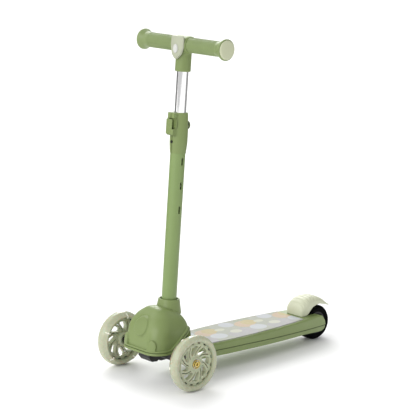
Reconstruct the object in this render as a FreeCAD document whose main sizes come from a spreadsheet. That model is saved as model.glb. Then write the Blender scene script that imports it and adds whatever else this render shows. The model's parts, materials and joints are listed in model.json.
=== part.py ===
import FreeCAD, Part
import math
import os
import Sketcher
from FreeCAD import Placement, Rotation, Vector

# A child's three-wheeled kick scooter: two wheels in front on a leaning truck, one behind.
# Frame: +Z up, -Y forward, X across, origin on the floor at the middle of the scooter's length.
# Every size is a cell of the sheet "Dims", in millimetres or degrees.

doc = FreeCAD.newDocument("KickScooter")
sheet = doc.addObject("Spreadsheet::Sheet", "Dims")

DIMENSIONS = {
    # wheels and wheelbase
    "front_axle_y": -228, "front_axle_z": 60, "front_wheel_radius": 60, "front_wheel_x": 116,
    "front_tyre_half": 14, "front_tyre_bore": 47.5, "front_tyre_round": 8,
    "rear_axle_y": 242.9, "rear_axle_z": 40, "rear_wheel_radius": 40,
    "rear_tyre_half": 18, "rear_tyre_bore": 25, "rear_tyre_round": 7,
    "hub_half": 11.5, "hub_radius": 15, "bearing_radius": 11, "bearing_width": 7,
    "bearing_bore": 4.04, "axle_radius": 4, "spacer_radius": 5.7, "running_gap": 0.04,
    "body_gap": 0.3, "window_count": 8, "light_count": 5,
    # leaning truck and its kingpin
    "kingpin_y": -236, "kingpin_z": 68, "kingpin_angle": 45, "kingpin_radius": 5,
    "boss_half": 15, "boss_radius": 15.5, "bush_radius": 7.5, "lug_thick": 9, "lug_radius": 14,
    "arm_half": 8, "arm_low": 51, "arm_high": 67, "arm_end_x": 100, "truck_middle": 18,
    "wing_low": 92,
    # stem and height adjustment, measured along the stem from its foot
    "stem_foot_y": -198.5, "stem_foot_z": 100, "stem_lean": 3.7,
    "stem_radius": 16, "stem_bore": 14, "stem_low": -15, "stem_high": 461,
    "slot_first": 260.5, "slot_pitch": 51.1, "slot_tall": 16, "slot_wide": 5,
    "inner_radius": 12.25, "inner_bore": 10.75, "inner_low": 240, "inner_high": 591,
    "socket_radius": 22, "socket_low": -20, "socket_high": 50,
    "cone_low": 38, "cone_high": 69, "cone_foot": 28, "cone_top": 22.6,
    "collar_low": 380, "collar_high": 465, "collar_radius": 18.7, "collar_block": 25,
    "pin_x": -9.5, "pin_y": -22, "knuckle_radius": 3, "lever_low": 420, "lever_high": 452,
    "clamp_bolt_y": -20.5, "clamp_bolt_level": 459.5,
    "button_level": 438, "button_radius": 9,
    # handlebar
    "bar_level": 606.3, "bar_radius": 11, "bar_half": 129, "housing_radius": 17,
    "housing_half": 22, "neck_low": 550.5, "grip_radius": 15.8, "flange_radius": 22,
    "flange_x": 124.5, "cap_radius": 19.75, "cap_face": 133.25,
    # dome cover
    "dome_wall": 3, "dome_low": 62,
    # deck
    "floor_top": 40.5, "seam_gap": 2.2,
    "deck_front": -192, "deck_widest_y": -23, "deck_end": 251, "deck_front_half": 46,
    "deck_widest": 59.5, "deck_end_half": 36, "deck_top": 65, "deck_wall": 3, "mat_thick": 1.5,
    "mat_margin": 5.5, "wheel_slot_half": 21.5, "wheel_slot_front": 199, "cavity_end": 184,
    "mat_front": -166, "mat_end": 172, "screw_radius": 2, "screw_head": 3.6, "screw_seat": 39,
    # foot brake over the rear wheel
    "brake_pivot_y": 190, "brake_pivot_z": 71.5, "brake_pin": 2.4,
}

for line, (alias, number) in enumerate(DIMENSIONS.items(), start=1):
    sheet.set(f"A{line}", alias)
    sheet.set(f"B{line}", str(number))
    sheet.setAlias(f"B{line}", alias)
doc.recompute()


class Size:
    """A number together with the sheet formula that gives it."""

    def __init__(self, value, formula):
        self.value = value
        self.formula = formula

    @staticmethod
    def of(number):
        return number if isinstance(number, Size) else Size(float(number), f"({number:.6g})")

    def joined(self, other, sign, value):
        return Size(value, f"({self.formula} {sign} {other.formula})")

    def __add__(self, other):
        other = Size.of(other)
        return self.joined(other, "+", self.value + other.value)

    def __sub__(self, other):
        other = Size.of(other)
        return self.joined(other, "-", self.value - other.value)

    def __mul__(self, other):
        other = Size.of(other)
        return self.joined(other, "*", self.value * other.value)

    def __truediv__(self, other):
        other = Size.of(other)
        return self.joined(other, "/", self.value / other.value)

    def __radd__(self, other):
        return Size.of(other) + self

    def __rsub__(self, other):
        return Size.of(other) - self

    def __rmul__(self, other):
        return Size.of(other) * self

    def __neg__(self):
        return Size.of(0) - self

    def sin(self):
        return Size(math.sin(math.radians(self.value)), f"sin({self.formula})")

    def cos(self):
        return Size(math.cos(math.radians(self.value)), f"cos({self.formula})")


class Dims:
    """The sheet's cells as attributes."""


for alias, number in DIMENSIONS.items():
    setattr(Dims, alias, Size(float(number), f"Dims.{alias}"))
D = Dims

PARTS = []


def bind(thing, **sizes):
    """Tie properties of a document object to the sheet."""
    for name, size in sizes.items():
        thing.setExpression(name, Size.of(size).formula)


def new_body(name):
    body = doc.addObject("PartDesign::Body", name)
    body.Label = name
    PARTS.append(body)
    return body


def place(body, x=0, y=0, z=0, axis=(0, 0, 1), angle=0):
    """Put a part's own origin at x, y, z, turned by an angle about an axis."""
    body.Placement = Placement(Vector(0, 0, 0), Rotation(Vector(*axis), 1.0))
    body.setExpression("Placement.Rotation.Angle", Size.of(angle).formula)
    for letter, size in zip("xyz", (x, y, z)):
        body.setExpression(f"Placement.Base.{letter}", Size.of(size).formula)


def sketch_on(body, plane, offset=0, shift=(0, 0), turn=None):
    """A sketch on one of the body's origin planes, moved along its normal and turned about its x."""
    sketch = body.newObject("Sketcher::SketchObject", f"{body.Name}_sketch")
    origin = [f for f in body.Origin.OriginFeatures if f.Role == f"{plane}_Plane"][0]
    sketch.AttachmentSupport = [(origin, "")]
    sketch.MapMode = "FlatFace"
    if turn is not None:
        sketch.AttachmentOffset = Placement(Vector(0, 0, 0), Rotation(Vector(1, 0, 0), 1.0))
        sketch.setExpression("AttachmentOffset.Rotation.Angle", Size.of(turn).formula)
    for letter, size in zip("xyz", (*shift, offset)):
        sketch.setExpression(f"AttachmentOffset.Base.{letter}", Size.of(size).formula)
    return sketch


def pin_point(sketch, edge, end, x, y):
    """Tie one point of the sketch to a distance from its origin each way."""
    for kind, size in (("DistanceX", x), ("DistanceY", y)):
        if size is None:
            continue
        size = Size.of(size)
        index = sketch.addConstraint(Sketcher.Constraint(kind, -1, 1, edge, end, size.value))
        sketch.setExpression(f"Constraints[{index}]", size.formula)


def arc_between(start, end, radius):
    """The short arc from start to end with its middle on the left of the way there."""
    chord = end - start
    middle = (start + end) / 2
    left = Vector(-chord.y, chord.x, 0).normalize()
    centre = middle + left * math.sqrt(max(radius**2 - chord.Length**2 / 4, 0))
    angles = [math.atan2(p.y - centre.y, p.x - centre.x) for p in (start, end)]
    return Part.ArcOfCircle(Part.Circle(centre, Vector(0, 0, 1), radius), *angles)


def outline(sketch, corners, arcs=None, hollows=None):
    """Closed outline through the corners, anticlockwise.

    arcs and hollows map an edge to its radius, bulging out of the outline or into it.
    """
    arcs, hollows = arcs or {}, hollows or {}
    corners = [(Size.of(x), Size.of(y)) for x, y in corners]
    points = [Vector(x.value, y.value, 0) for x, y in corners]
    first = sketch.GeometryCount
    count = len(points)
    for i, point in enumerate(points):
        following = points[(i + 1) % count]
        if i in arcs:
            edge = arc_between(point, following, Size.of(arcs[i]).value)
        elif i in hollows:
            edge = arc_between(following, point, Size.of(hollows[i]).value)
        else:
            edge = Part.LineSegment(point, following)
        sketch.addGeometry(edge, False)
    starts = [2 if i in hollows else 1 for i in range(count)]
    for i in range(count):
        after = (i + 1) % count
        ends = Sketcher.Constraint("Coincident", first + i, 3 - starts[i], first + after, starts[after])
        sketch.addConstraint(ends)
    for i, (x, y) in enumerate(corners):
        pin_point(sketch, first + i, starts[i], x, y)
    for i, radius in {**arcs, **hollows}.items():
        radius = Size.of(radius)
        index = sketch.addConstraint(Sketcher.Constraint("Radius", first + i, radius.value))
        sketch.setExpression(f"Constraints[{index}]", radius.formula)
    return sketch


def rectangle(sketch, left, right, low, high):
    return outline(sketch, [(left, low), (right, low), (right, high), (left, high)])


def circle(sketch, x, y, radius):
    x, y, radius = Size.of(x), Size.of(y), Size.of(radius)
    centre = Vector(x.value, y.value, 0)
    edge = sketch.addGeometry(Part.Circle(centre, Vector(0, 0, 1), radius.value), False)
    pin_point(sketch, edge, 3, x, y)
    index = sketch.addConstraint(Sketcher.Constraint("Radius", edge, radius.value))
    sketch.setExpression(f"Constraints[{index}]", radius.formula)
    return sketch


def rounded(sketch, half, front, rear, corner):
    """Rounded rectangle from -half to half across and front to rear along."""
    return outline(
        sketch,
        [
            (-half + corner, front), (half - corner, front), (half, front + corner),
            (half, rear - corner), (half - corner, rear), (-half + corner, rear),
            (-half, rear - corner), (-half, front + corner),
        ],
        {1: corner, 3: corner, 5: corner, 7: corner},
    )


def feature(body, kind, sketch, **properties):
    """A PartDesign feature made from a sketch."""
    made = body.newObject(f"PartDesign::{kind}", f"{body.Name}_{kind.lower()}")
    made.Profile = sketch
    for name, setting in properties.items():
        setattr(made, name, setting)
    return made


def pad(body, sketch, length, both=False, reverse=False):
    side = "Symmetric" if both else "One side"
    made = feature(body, "Pad", sketch, SideType=side, Reversed=reverse)
    bind(made, Length=length)
    return made


def pocket(body, sketch, length=None, both=False, reverse=False):
    """Cut a sketch out of the body, through everything both ways when no length is given."""
    if length is None:
        return feature(body, "Pocket", sketch, SideType="Symmetric", Type="ThroughAll")
    side = "Symmetric" if both else "One side"
    made = feature(body, "Pocket", sketch, SideType=side, Reversed=reverse)
    bind(made, Length=length)
    return made


def revolve(body, sketch, axis="V_Axis"):
    return feature(body, "Revolution", sketch, ReferenceAxis=(sketch, [axis]), Angle=360)


def groove(body, sketch, axis="V_Axis"):
    return feature(body, "Groove", sketch, ReferenceAxis=(sketch, [axis]), Angle=360)


def turned(name, *profiles):
    """A part turned about its own Z from one or more closed (radius, height) outlines."""
    body = new_body(name)
    sketch = sketch_on(body, "XZ")
    for profile in profiles:
        outline(sketch, profile)
    revolve(body, sketch)
    return body


def tube(inner, outer, low, high):
    return [(inner, low), (outer, low), (outer, high), (inner, high)]


def polar(body, cut, count):
    """Repeat a cut evenly about the body's own Z."""
    pattern = body.newObject("PartDesign::PolarPattern", f"{body.Name}_polar")
    pattern.Originals = [cut]
    z_axis = [f for f in body.Origin.OriginFeatures if f.Role == "Z_Axis"][0]
    pattern.Axis = (z_axis, [""])
    pattern.Angle = 360
    bind(pattern, Occurrences=count)
    body.Tip = pattern
    return pattern


def edges_where(shape, test):
    return [f"Edge{i}" for i, edge in enumerate(shape.Edges, start=1) if test(edge)]


def soften(body, kind, size, test):
    """Fillet or chamfer the body's edges that pass a test."""
    doc.recompute()
    tip = body.Tip
    made = body.newObject(f"PartDesign::{kind}", f"{body.Name}_{kind.lower()}")
    made.Base = (tip, edges_where(tip.Shape, test))
    bind(made, **{"Radius" if kind == "Fillet" else "Size": size})
    return made


def circle_edge(radius, level=None):
    """Test for full circles of one radius, and one height if that is given."""
    def test(edge):
        curve = edge.Curve
        if not isinstance(curve, Part.Circle) or abs(curve.Radius - Size.of(radius).value) > 0.01:
            return False
        return level is None or abs(curve.Center.z - Size.of(level).value) < 0.01
    return test


def stem_point(y, level):
    """A point beside the stem, y behind its axis and a level up it, in the scooter's own (y, z)."""
    sine, cosine = D.stem_lean.sin(), D.stem_lean.cos()
    return D.stem_foot_y + level * sine + y * cosine, D.stem_foot_z + level * cosine - y * sine


def on_stem(body, x=0, y=0, level=0, angle=0):
    """Stand a part on the stem: angle 0 keeps its Z up the stem, 90 points it forward, -90 back."""
    place(body, x, *stem_point(y, level), (1, 0, 0), angle - D.stem_lean)


def across_stem(body, y, level, side=1):
    """Parts turned about an axis across the scooter, beside the stem."""
    place(body, 0, *stem_point(y, level), (0, side, 0), 90)


def on_kingpin(body):
    """Parts turned about the kingpin, which rises towards the front."""
    place(body, 0, D.kingpin_y, D.kingpin_z, (1, 0, 0), 90 - D.kingpin_angle)


def kingpin_point(along, below):
    """A point beside the kingpin, in the scooter's own (y, z)."""
    sine, cosine = D.kingpin_angle.sin(), D.kingpin_angle.cos()
    y = D.kingpin_y - along * cosine - below * sine
    z = D.kingpin_z + along * sine - below * cosine
    return y, z


# ---------------------------------------------------------------- wheels

def wheel_core(name, rim, web_half, half, window):
    """Hub, web and rim in one moulding, with a bearing seat in each end."""
    seat = half - D.bearing_width
    body = turned(name, [
        (8.5, -seat), (D.bearing_radius, -seat), (D.bearing_radius, -half), (D.hub_radius, -half),
        (D.hub_radius, -web_half), (rim - 3.5, -web_half), (rim - 3.5, -half), (rim, -half),
        (rim, half), (rim - 3.5, half), (rim - 3.5, web_half), (D.hub_radius, web_half),
        (D.hub_radius, half), (D.bearing_radius, half), (D.bearing_radius, seat), (8.5, seat),
    ])
    if window:
        sketch = outline(sketch_on(body, "XY"), [
            (D.hub_radius + 5, -4), (rim - 10.5, -14), (rim - 9.5, -2), (D.hub_radius + 6, 3),
        ])
        polar(body, pocket(body, sketch), D.window_count)
    return body


def front_wheel(side, sign):
    half = D.hub_half
    tyre = turned(f"{side}_tyre", tube(D.front_tyre_bore, D.front_wheel_radius,
                                       -D.front_tyre_half, D.front_tyre_half))
    soften(tyre, "Fillet", D.front_tyre_round, circle_edge(D.front_wheel_radius))
    bore = D.front_tyre_bore
    light_seat = rectangle(sketch_on(tyre, "XY"), bore - 2, bore + 6, -2, 2)
    polar(tyre, pocket(tyre, light_seat, 20, both=True), D.light_count)
    lights = new_body(f"{side}_light_modules")
    light = rectangle(sketch_on(lights, "XY"), bore + 0.2, bore + 5.8, -1.8, 1.8)
    polar(lights, pad(lights, light, 19.4, both=True), D.light_count)
    core = wheel_core(f"{side}_wheel_core", D.front_tyre_bore, half - 3, half, True)
    bearings = turned(f"{side}_wheel_bearings",
                      tube(D.bearing_bore, D.bearing_radius, half - D.bearing_width, half),
                      tube(D.bearing_bore, D.bearing_radius, -half, D.bearing_width - half))
    spacer = turned(f"{side}_wheel_spacer", tube(D.bearing_bore, D.spacer_radius,
                                                 D.bearing_width - half, half - D.bearing_width))
    for body in (tyre, lights, core, bearings, spacer):
        place(body, sign * D.front_wheel_x, D.front_axle_y, D.front_axle_z, (0, sign, 0), 90)


def rear_wheel():
    half = D.hub_half + 4
    tyre = turned("rear_tyre", tube(D.rear_tyre_bore, D.rear_wheel_radius,
                                    -D.rear_tyre_half, D.rear_tyre_half))
    soften(tyre, "Fillet", D.rear_tyre_round, circle_edge(D.rear_wheel_radius))
    core = wheel_core("rear_wheel_core", D.rear_tyre_bore, half - 5, half, False)
    bearings = turned("rear_wheel_bearings",
                      tube(D.bearing_bore, D.bearing_radius, half - D.bearing_width, half),
                      tube(D.bearing_bore, D.bearing_radius, -half, D.bearing_width - half))
    spacer = turned("rear_wheel_spacer", tube(D.bearing_bore, D.spacer_radius,
                                              D.bearing_width - half, half - D.bearing_width))
    axle = turned("rear_axle", [
        (0, -31), (6.5, -31), (6.5, -26), (D.axle_radius, -26), (D.axle_radius, 26), (6.5, 26),
        (6.5, 31), (0, 31),
    ])
    washer_bore, washer_low = D.axle_radius + 0.1, half + D.body_gap
    washers = turned("rear_axle_washers",
                     tube(washer_bore, 7, washer_low, D.wheel_slot_half),
                     tube(washer_bore, 7, -D.wheel_slot_half, -washer_low))
    for body in (tyre, core, bearings, spacer, axle, washers):
        place(body, 0, D.rear_axle_y, D.rear_axle_z, (0, 1, 0), 90)


# ---------------------------------------------------------------- leaning truck

def axle_beam():
    """Cross beam: an arm each side of a boss that turns on the kingpin, with a rounded nose below."""
    body = new_body("axle_beam")
    ends = circle(sketch_on(body, "YZ"), D.front_axle_y, D.front_axle_z, 6.5)
    pad(body, ends, (D.front_wheel_x - D.hub_half - D.body_gap) * 2, both=True)
    arms = rectangle(sketch_on(body, "YZ"), D.front_axle_y - D.arm_half, D.front_axle_y + D.arm_half,
                     D.arm_low, D.arm_high)
    pad(body, arms, D.arm_end_x * 2, both=True)
    soften(body, "Chamfer", 3, lambda edge: edge.Length > 150)
    middle = rectangle(sketch_on(body, "YZ"), D.front_axle_y - 25, D.front_axle_y + 25, 40, 80)
    pocket(body, middle, D.truck_middle * 2 - 3, both=True)
    pocket(body, circle(sketch_on(body, "YZ"), D.front_axle_y, D.front_axle_z, D.axle_radius))
    half, reach = D.boss_half, D.boss_radius
    profile = [(half, -reach), (half, 22), (half - 7, 29.4), (-half + 11, 30.4), (-half, 21),
               (-half, -reach)]
    boss = outline(sketch_on(body, "YZ"), [kingpin_point(a, b) for a, b in profile])
    pad(body, boss, D.truck_middle * 2, both=True)
    bore = sketch_on(body, "XY", D.kingpin_z, (0, D.kingpin_y), 90 - D.kingpin_angle)
    pocket(body, circle(bore, 0, 0, D.bush_radius))


def truck():
    axle_beam()
    half = D.boss_half
    bore = D.kingpin_radius + D.running_gap
    bushes = turned(
        "kingpin_bushes",
        [(bore, 3), (D.bush_radius, 3), (D.bush_radius, half), (bore, half)],
        [(bore, -half), (D.bush_radius, -half), (D.bush_radius, -3), (bore, -3)],
    )
    on_kingpin(bushes)
    head_low, head, flange = D.front_wheel_x + D.hub_half + D.body_gap, 6.2, 10.6
    bolts = turned(
        "front_axle_bolts",
        [(0, 60), (D.axle_radius, 60), (D.axle_radius, head_low), (flange, head_low),
         (flange, head_low + 1.4), (head, head_low + 1.8), (head, head_low + 2.9),
         (0, head_low + 2.9)],
        [(0, -60), (0, -head_low - 2.9), (head, -head_low - 2.9), (head, -head_low - 1.8),
         (flange, -head_low - 1.4), (flange, -head_low), (D.axle_radius, -head_low),
         (D.axle_radius, -60)],
    )
    place(bolts, 0, D.front_axle_y, D.front_axle_z, (0, 1, 0), 90)


# ---------------------------------------------------------------- chassis round the kingpin

FRAME_SCREWS = [(x, D.front_axle_y + y) for x in (-8, 8) for y in (78, 98)]


def front_frame():
    """Bracket with a lug at each end of the truck's boss, the stem's socket and a tongue to the deck."""
    body = new_body("front_frame")
    near, far = D.boss_half + D.body_gap, D.boss_half + D.body_gap + D.lug_thick
    inside, back = -D.boss_radius - 4, -44
    clasp = [(near, D.lug_radius), (near, inside), (-near, inside), (-near, D.lug_radius),
             (-far, D.lug_radius), (-far, back), (far, back), (far, D.lug_radius)]
    frame = outline(sketch_on(body, "YZ"), [kingpin_point(a, b) for a, b in reversed(clasp)])
    pad(body, frame, D.lug_radius * 2, both=True)
    tongue = rectangle(sketch_on(body, "YZ"), D.front_axle_y + 2, D.front_axle_y + 105,
                       D.floor_top, D.floor_top + 9)
    pad(body, tongue, D.lug_radius * 2, both=True)
    wing = rectangle(sketch_on(body, "YZ"), D.front_axle_y - D.arm_half, D.front_axle_y + D.arm_half,
                     D.wing_low, D.wing_low + 9)
    pad(body, wing, 76, both=True)
    foot_y, foot_z = stem_point(0, D.socket_low)
    socket = circle(sketch_on(body, "XY", foot_z, (0, foot_y), -D.stem_lean), 0, 0, D.socket_radius)
    pad(body, socket, D.socket_high - D.socket_low)
    seat_y, seat_z = stem_point(0, D.stem_low)
    seat = circle(sketch_on(body, "XY", seat_z, (0, seat_y), -D.stem_lean), 0, 0, D.stem_radius)
    pocket(body, seat, D.socket_high - D.socket_low, reverse=True)
    bore = sketch_on(body, "XY", D.kingpin_z, (0, D.kingpin_y), 90 - D.kingpin_angle)
    pocket(body, circle(bore, 0, 0, D.kingpin_radius), far * 2, both=True)
    nut_y, nut_z = kingpin_point(-far, 0)
    recess = sketch_on(body, "XY", nut_z, (0, nut_y), 90 - D.kingpin_angle)
    pocket(body, circle(recess, 0, 0, D.lug_radius - 4.5), 14)
    screws = sketch_on(body, "XY", D.floor_top - 1)
    for x, y in FRAME_SCREWS:
        circle(screws, x, y, D.screw_radius)
    pocket(body, screws, 8, reverse=True)
    pocket(body, circle(sketch_on(body, "YZ"), *stem_point(0, D.socket_high - 25), 2.5))


def chassis_hardware():
    far = D.boss_half + D.body_gap + D.lug_thick
    kingpin = turned("kingpin_bolt", [
        (0, -far - 9), (D.kingpin_radius, -far - 9), (D.kingpin_radius, far),
        (8, far), (8, far + 5), (0, far + 5),
    ])
    nut = turned("kingpin_nut", tube(D.kingpin_radius, 8, -far - 6, -far))
    thin = D.body_gap - 0.05
    rings = turned("kingpin_washers",
                   tube(D.kingpin_radius + 0.1, 9, D.boss_half + 0.03, D.boss_half + thin),
                   tube(D.kingpin_radius + 0.1, 9, -D.boss_half - thin, -D.boss_half - 0.03))
    for body in (kingpin, nut, rings):
        on_kingpin(body)

    buffers = new_body("centring_buffers")
    seat = sketch_on(buffers, "XY", D.arm_high + 0.2)
    for x in (-30, 30):
        circle(seat, x, D.front_axle_y, 7)
    pad(buffers, seat, D.wing_low - D.arm_high - 0.4)
    bolt = turned("stem_bolt", [
        (0, -26), (4.5, -26), (4.5, -D.socket_radius - 0.5), (2.5, -D.socket_radius - 0.5),
        (2.5, D.socket_radius + 0.5), (4.5, D.socket_radius + 0.5), (4.5, 26), (0, 26),
    ])
    across_stem(bolt, 0, D.socket_high - 25)


# ---------------------------------------------------------------- stem

def stem_tube():
    body = turned("stem_tube", tube(D.stem_bore, D.stem_radius, D.stem_low, D.stem_high))
    slot = sketch_on(body, "YZ")
    half = D.slot_wide / 2
    tall = D.slot_tall / 2 - half
    outline(slot, [
        (-half, D.slot_first - tall), (half, D.slot_first - tall),
        (half, D.slot_first + tall), (-half, D.slot_first + tall),
    ], {0: half + 0.001, 2: half + 0.001})
    cut = pocket(body, slot, D.stem_radius + 1, reverse=True)
    row = body.newObject("PartDesign::LinearPattern", "slot_row")
    row.Originals = [cut]
    row.Direction = (slot, ["V_Axis"])
    row.Occurrences = 3
    bind(row, Length=D.slot_pitch * 2)
    body.Tip = row
    pocket(body, circle(sketch_on(body, "YZ"), 0, D.socket_high - 25, 2.5))
    on_stem(body)


def stem_parts():
    stem_tube()
    bush = turned("stem_guide_bush", tube(D.inner_radius + D.running_gap, D.stem_bore,
                                          D.stem_high - 36, D.stem_high))
    cone = turned("stem_collar_cone", [
        (D.socket_radius, D.cone_low), (D.cone_foot, D.cone_low), (D.cone_top, D.cone_high - 1.5),
        (D.cone_top - 1.5, D.cone_high), (D.stem_radius, D.cone_high), (D.stem_radius, D.socket_high),
        (D.socket_radius, D.socket_high),
    ])
    for body in (bush, cone):
        on_stem(body)


def clamp_collar():
    """Split ring round the stem's top, with a block in front that the lever lies over."""
    body = turned("clamp_collar", [
        (0, D.collar_low), (D.stem_radius + 0.8, D.collar_low), (D.collar_radius, D.collar_low + 21),
        (D.collar_radius, D.collar_high - 37), (17.2, D.collar_high - 12),
        (D.stem_radius + 0.4, D.collar_high), (0, D.collar_high),
    ])
    block = rectangle(sketch_on(body, "XY", D.lever_low - 2), -10, 10, -D.collar_block, -10)
    pad(body, block, D.collar_high - D.lever_low + 2)
    reach = D.knuckle_radius
    ears = outline(sketch_on(body, "XY", D.lever_low - 1.8), [
        (D.pin_x, D.pin_y - reach), (-5, D.pin_y - reach), (-5, D.pin_y + reach),
        (D.pin_x, D.pin_y + reach),
    ], {3: reach + 0.001})
    pad(body, ears, D.lever_high - D.lever_low + 3.6)
    notch = rectangle(sketch_on(body, "XY", D.lever_low + 2), -14, D.pin_x + reach + 0.6,
                      -D.collar_block - 1, D.pin_y + reach + 0.6)
    pocket(body, notch, D.lever_high - D.lever_low - 4, reverse=True)
    bore = circle(sketch_on(body, "XY", D.collar_low - 1), 0, 0, D.stem_radius)
    pocket(body, bore, D.stem_high - D.collar_low + 1, reverse=True)
    pocket(body, circle(sketch_on(body, "XY"), 0, 0, D.inner_radius + 0.3))
    slit = rectangle(sketch_on(body, "XY"), -0.8, 0.8, -D.collar_block - 2, -12)
    pocket(body, slit)
    finger = rectangle(sketch_on(body, "YZ", 10), -D.collar_block - 1, -21.3, D.lever_low + 12,
                       D.lever_high + 2)
    pocket(body, finger, 14.5)
    rib = rectangle(sketch_on(body, "XY", D.lever_high - 18), 9.5, 11.6, -20.6, -16.4)
    pad(body, rib, 18)
    bolt = circle(sketch_on(body, "YZ", -8), D.clamp_bolt_y, D.clamp_bolt_level, 2.5)
    pocket(body, bolt, 20, reverse=True)
    head = circle(sketch_on(body, "YZ", 7), D.clamp_bolt_y, D.clamp_bolt_level, 4)
    pocket(body, head, 5, reverse=True)
    pocket(body, circle(sketch_on(body, "XY"), D.pin_x, D.pin_y, 1.5))
    pocket(body, circle(sketch_on(body, "XZ"), 0, D.button_level, 4.2), 30)
    screw = circle(sketch_on(body, "XZ", 10), 0, D.collar_low + 24, 2)
    pocket(body, screw, 15, reverse=True)
    on_stem(body)


def clamp_lever():
    """Flat paddle over the collar's block and its finger gap, with a knuckle on its pin."""
    body = new_body("clamp_lever")
    front, back, edge = -27.9, -25.3, D.pin_x - 1.5
    plate = rectangle(sketch_on(body, "XY", D.lever_low), edge, 11.5, front, back)
    pad(body, plate, D.lever_high - D.lever_low)
    soften(body, "Fillet", 1.2, lambda edge: abs(edge.BoundBox.YMax - front) < 0.01)
    knuckle_low, knuckle_tall = D.lever_low + 2.3, D.lever_high - D.lever_low - 4.6
    root = sketch_on(body, "XY", knuckle_low)
    pad(body, rectangle(root, edge, D.pin_x + D.knuckle_radius, back - 0.5, D.pin_y), knuckle_tall)
    knuckle = sketch_on(body, "XY", knuckle_low)
    pad(body, circle(knuckle, D.pin_x, D.pin_y, D.knuckle_radius), knuckle_tall)
    pocket(body, circle(sketch_on(body, "XY"), D.pin_x, D.pin_y, 1.5 + D.running_gap))
    on_stem(body)


def clamp_parts():
    clamp_collar()
    clamp_lever()
    pin_low, pin_high = D.lever_low - 1.8, D.lever_high + 1.8
    pin = turned("lever_pin", [(0, pin_low), (1.5, pin_low), (1.5, pin_high), (0, pin_high)])
    on_stem(pin, D.pin_x, D.pin_y)
    bolt = turned("clamp_bolt", [(0, -8), (2.5, -8), (2.5, 7), (4, 7), (4, 9.6), (0, 9.6)])
    across_stem(bolt, D.clamp_bolt_y, D.clamp_bolt_level)
    screw = turned("collar_screw", [(0, 16.3), (2, 16.3), (2, 18.9), (3, 18.9), (3, 20.1), (0, 20.1)])
    on_stem(screw, 0, 0, D.collar_low + 24, 90)
    face = 22.9
    button = turned("release_button", [
        (0, 17.7), (4.15, 17.7), (4.15, face - 2.5), (D.button_radius, face - 2.5),
        (D.button_radius, face - 0.8), (D.button_radius - 0.8, face), (0, face),
    ])
    spring = turned("release_spring", tube(5.2, 7.4, 18.8, face - 2.6))
    for body in (button, spring):
        on_stem(body, 0, 0, D.button_level, -90)


# ---------------------------------------------------------------- handlebar, on the sliding tube

def inner_tube():
    body = turned("inner_tube", tube(D.inner_bore, D.inner_radius, D.inner_low, D.inner_high))
    level = D.slot_first + D.slot_pitch
    pocket(body, circle(sketch_on(body, "YZ"), 0, level, 2.25), 20, reverse=True)
    screws = sketch_on(body, "XZ")
    for height in HOUSING_SCREWS:
        circle(screws, 0, height, 2)
    pocket(body, screws, 20)
    on_stem(body)


HOUSING_SCREWS = (D.neck_low + 11, D.neck_low + 27)


def detent():
    level = D.slot_first + D.slot_pitch
    button = turned("detent_button", [
        (0, 8.4), (3.4, 8.4), (3.4, 9.4), (2.2, 9.4), (2.2, 12.6), (1.8, 13), (0, 13),
    ])
    across_stem(button, 0, level)
    spring = new_body("detent_spring")
    strip = outline(sketch_on(spring, "XZ"), [
        (-10.3, level - 50), (-9.9, level - 50), (-9.9, level - 25), (8.3, level - 6),
        (8.3, level + 6), (7.9, level + 6), (7.9, level - 5.5), (-10.3, level - 24.7),
    ])
    pad(spring, strip, 4.8, both=True)
    on_stem(spring)


def t_housing():
    """Upright neck and cross sleeve in one casting, with a flat boss for the badge in front."""
    body = new_body("t_housing")
    neck = outline(sketch_on(body, "XZ"), [(0, D.neck_low), (15.5, D.neck_low), (16.5, D.neck_low + 2),
                                           (16.5, D.bar_level), (0, D.bar_level)])
    revolve(body, neck)
    sleeve = circle(sketch_on(body, "YZ"), 0, D.bar_level, D.housing_radius)
    pad(body, sleeve, D.housing_half * 2, both=True)
    boss = rectangle(sketch_on(body, "XZ"), -12, 12, D.bar_level - 20, D.bar_level + 13)
    pad(body, boss, 17.6)
    pocket(body, circle(sketch_on(body, "YZ"), 0, D.bar_level, D.bar_radius))
    bore = circle(sketch_on(body, "XY", D.neck_low - 1), 0, 0, D.inner_radius)
    pocket(body, bore, D.inner_high - D.neck_low + 1.5, reverse=True)
    screws = sketch_on(body, "XZ")
    for height in HOUSING_SCREWS:
        circle(screws, 0, height, 2)
    pocket(body, screws, 20)
    on_stem(body)


def badge():
    """Blank shield with a bowed face, and the plain oval button set into it."""
    body = new_body("badge_shield")
    shoulder, top, tip = D.bar_level - 8, D.bar_level + 18, D.bar_level - 31.5
    shape = outline(sketch_on(body, "XZ", 17.7), [
        (0, tip), (19, shoulder), (19, top), (-19, top), (-19, shoulder),
    ], {0: 46, 4: 46})
    pad(body, shape, 8.5)
    bow = outline(sketch_on(body, "XY"), [(-24, -32), (24, -32), (24, -17.6), (-24, -17.6)], {}, {2: 38})
    pocket(body, bow)
    oval = sketch_on(body, "XZ", 24)
    stadium(oval, 6, D.bar_level - 9, 9.5)
    pocket(body, oval, 5, reverse=True)
    on_stem(body)
    emblem = new_body("badge_oval")
    face = sketch_on(emblem, "XZ", 24)
    stadium(face, 6, D.bar_level - 9, 9.5)
    pad(emblem, face, 4)
    soften(emblem, "Fillet", 1.5, lambda edge: abs(edge.BoundBox.YMax + 28) < 0.01)
    on_stem(emblem)


def stadium(sketch, half, level, reach):
    """Upright oval with straight sides."""
    outline(sketch, [(-half, level - reach + half), (half, level - reach + half),
                     (half, level + reach - half), (-half, level + reach - half)],
            {0: half + 0.001, 2: half + 0.001})


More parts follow.
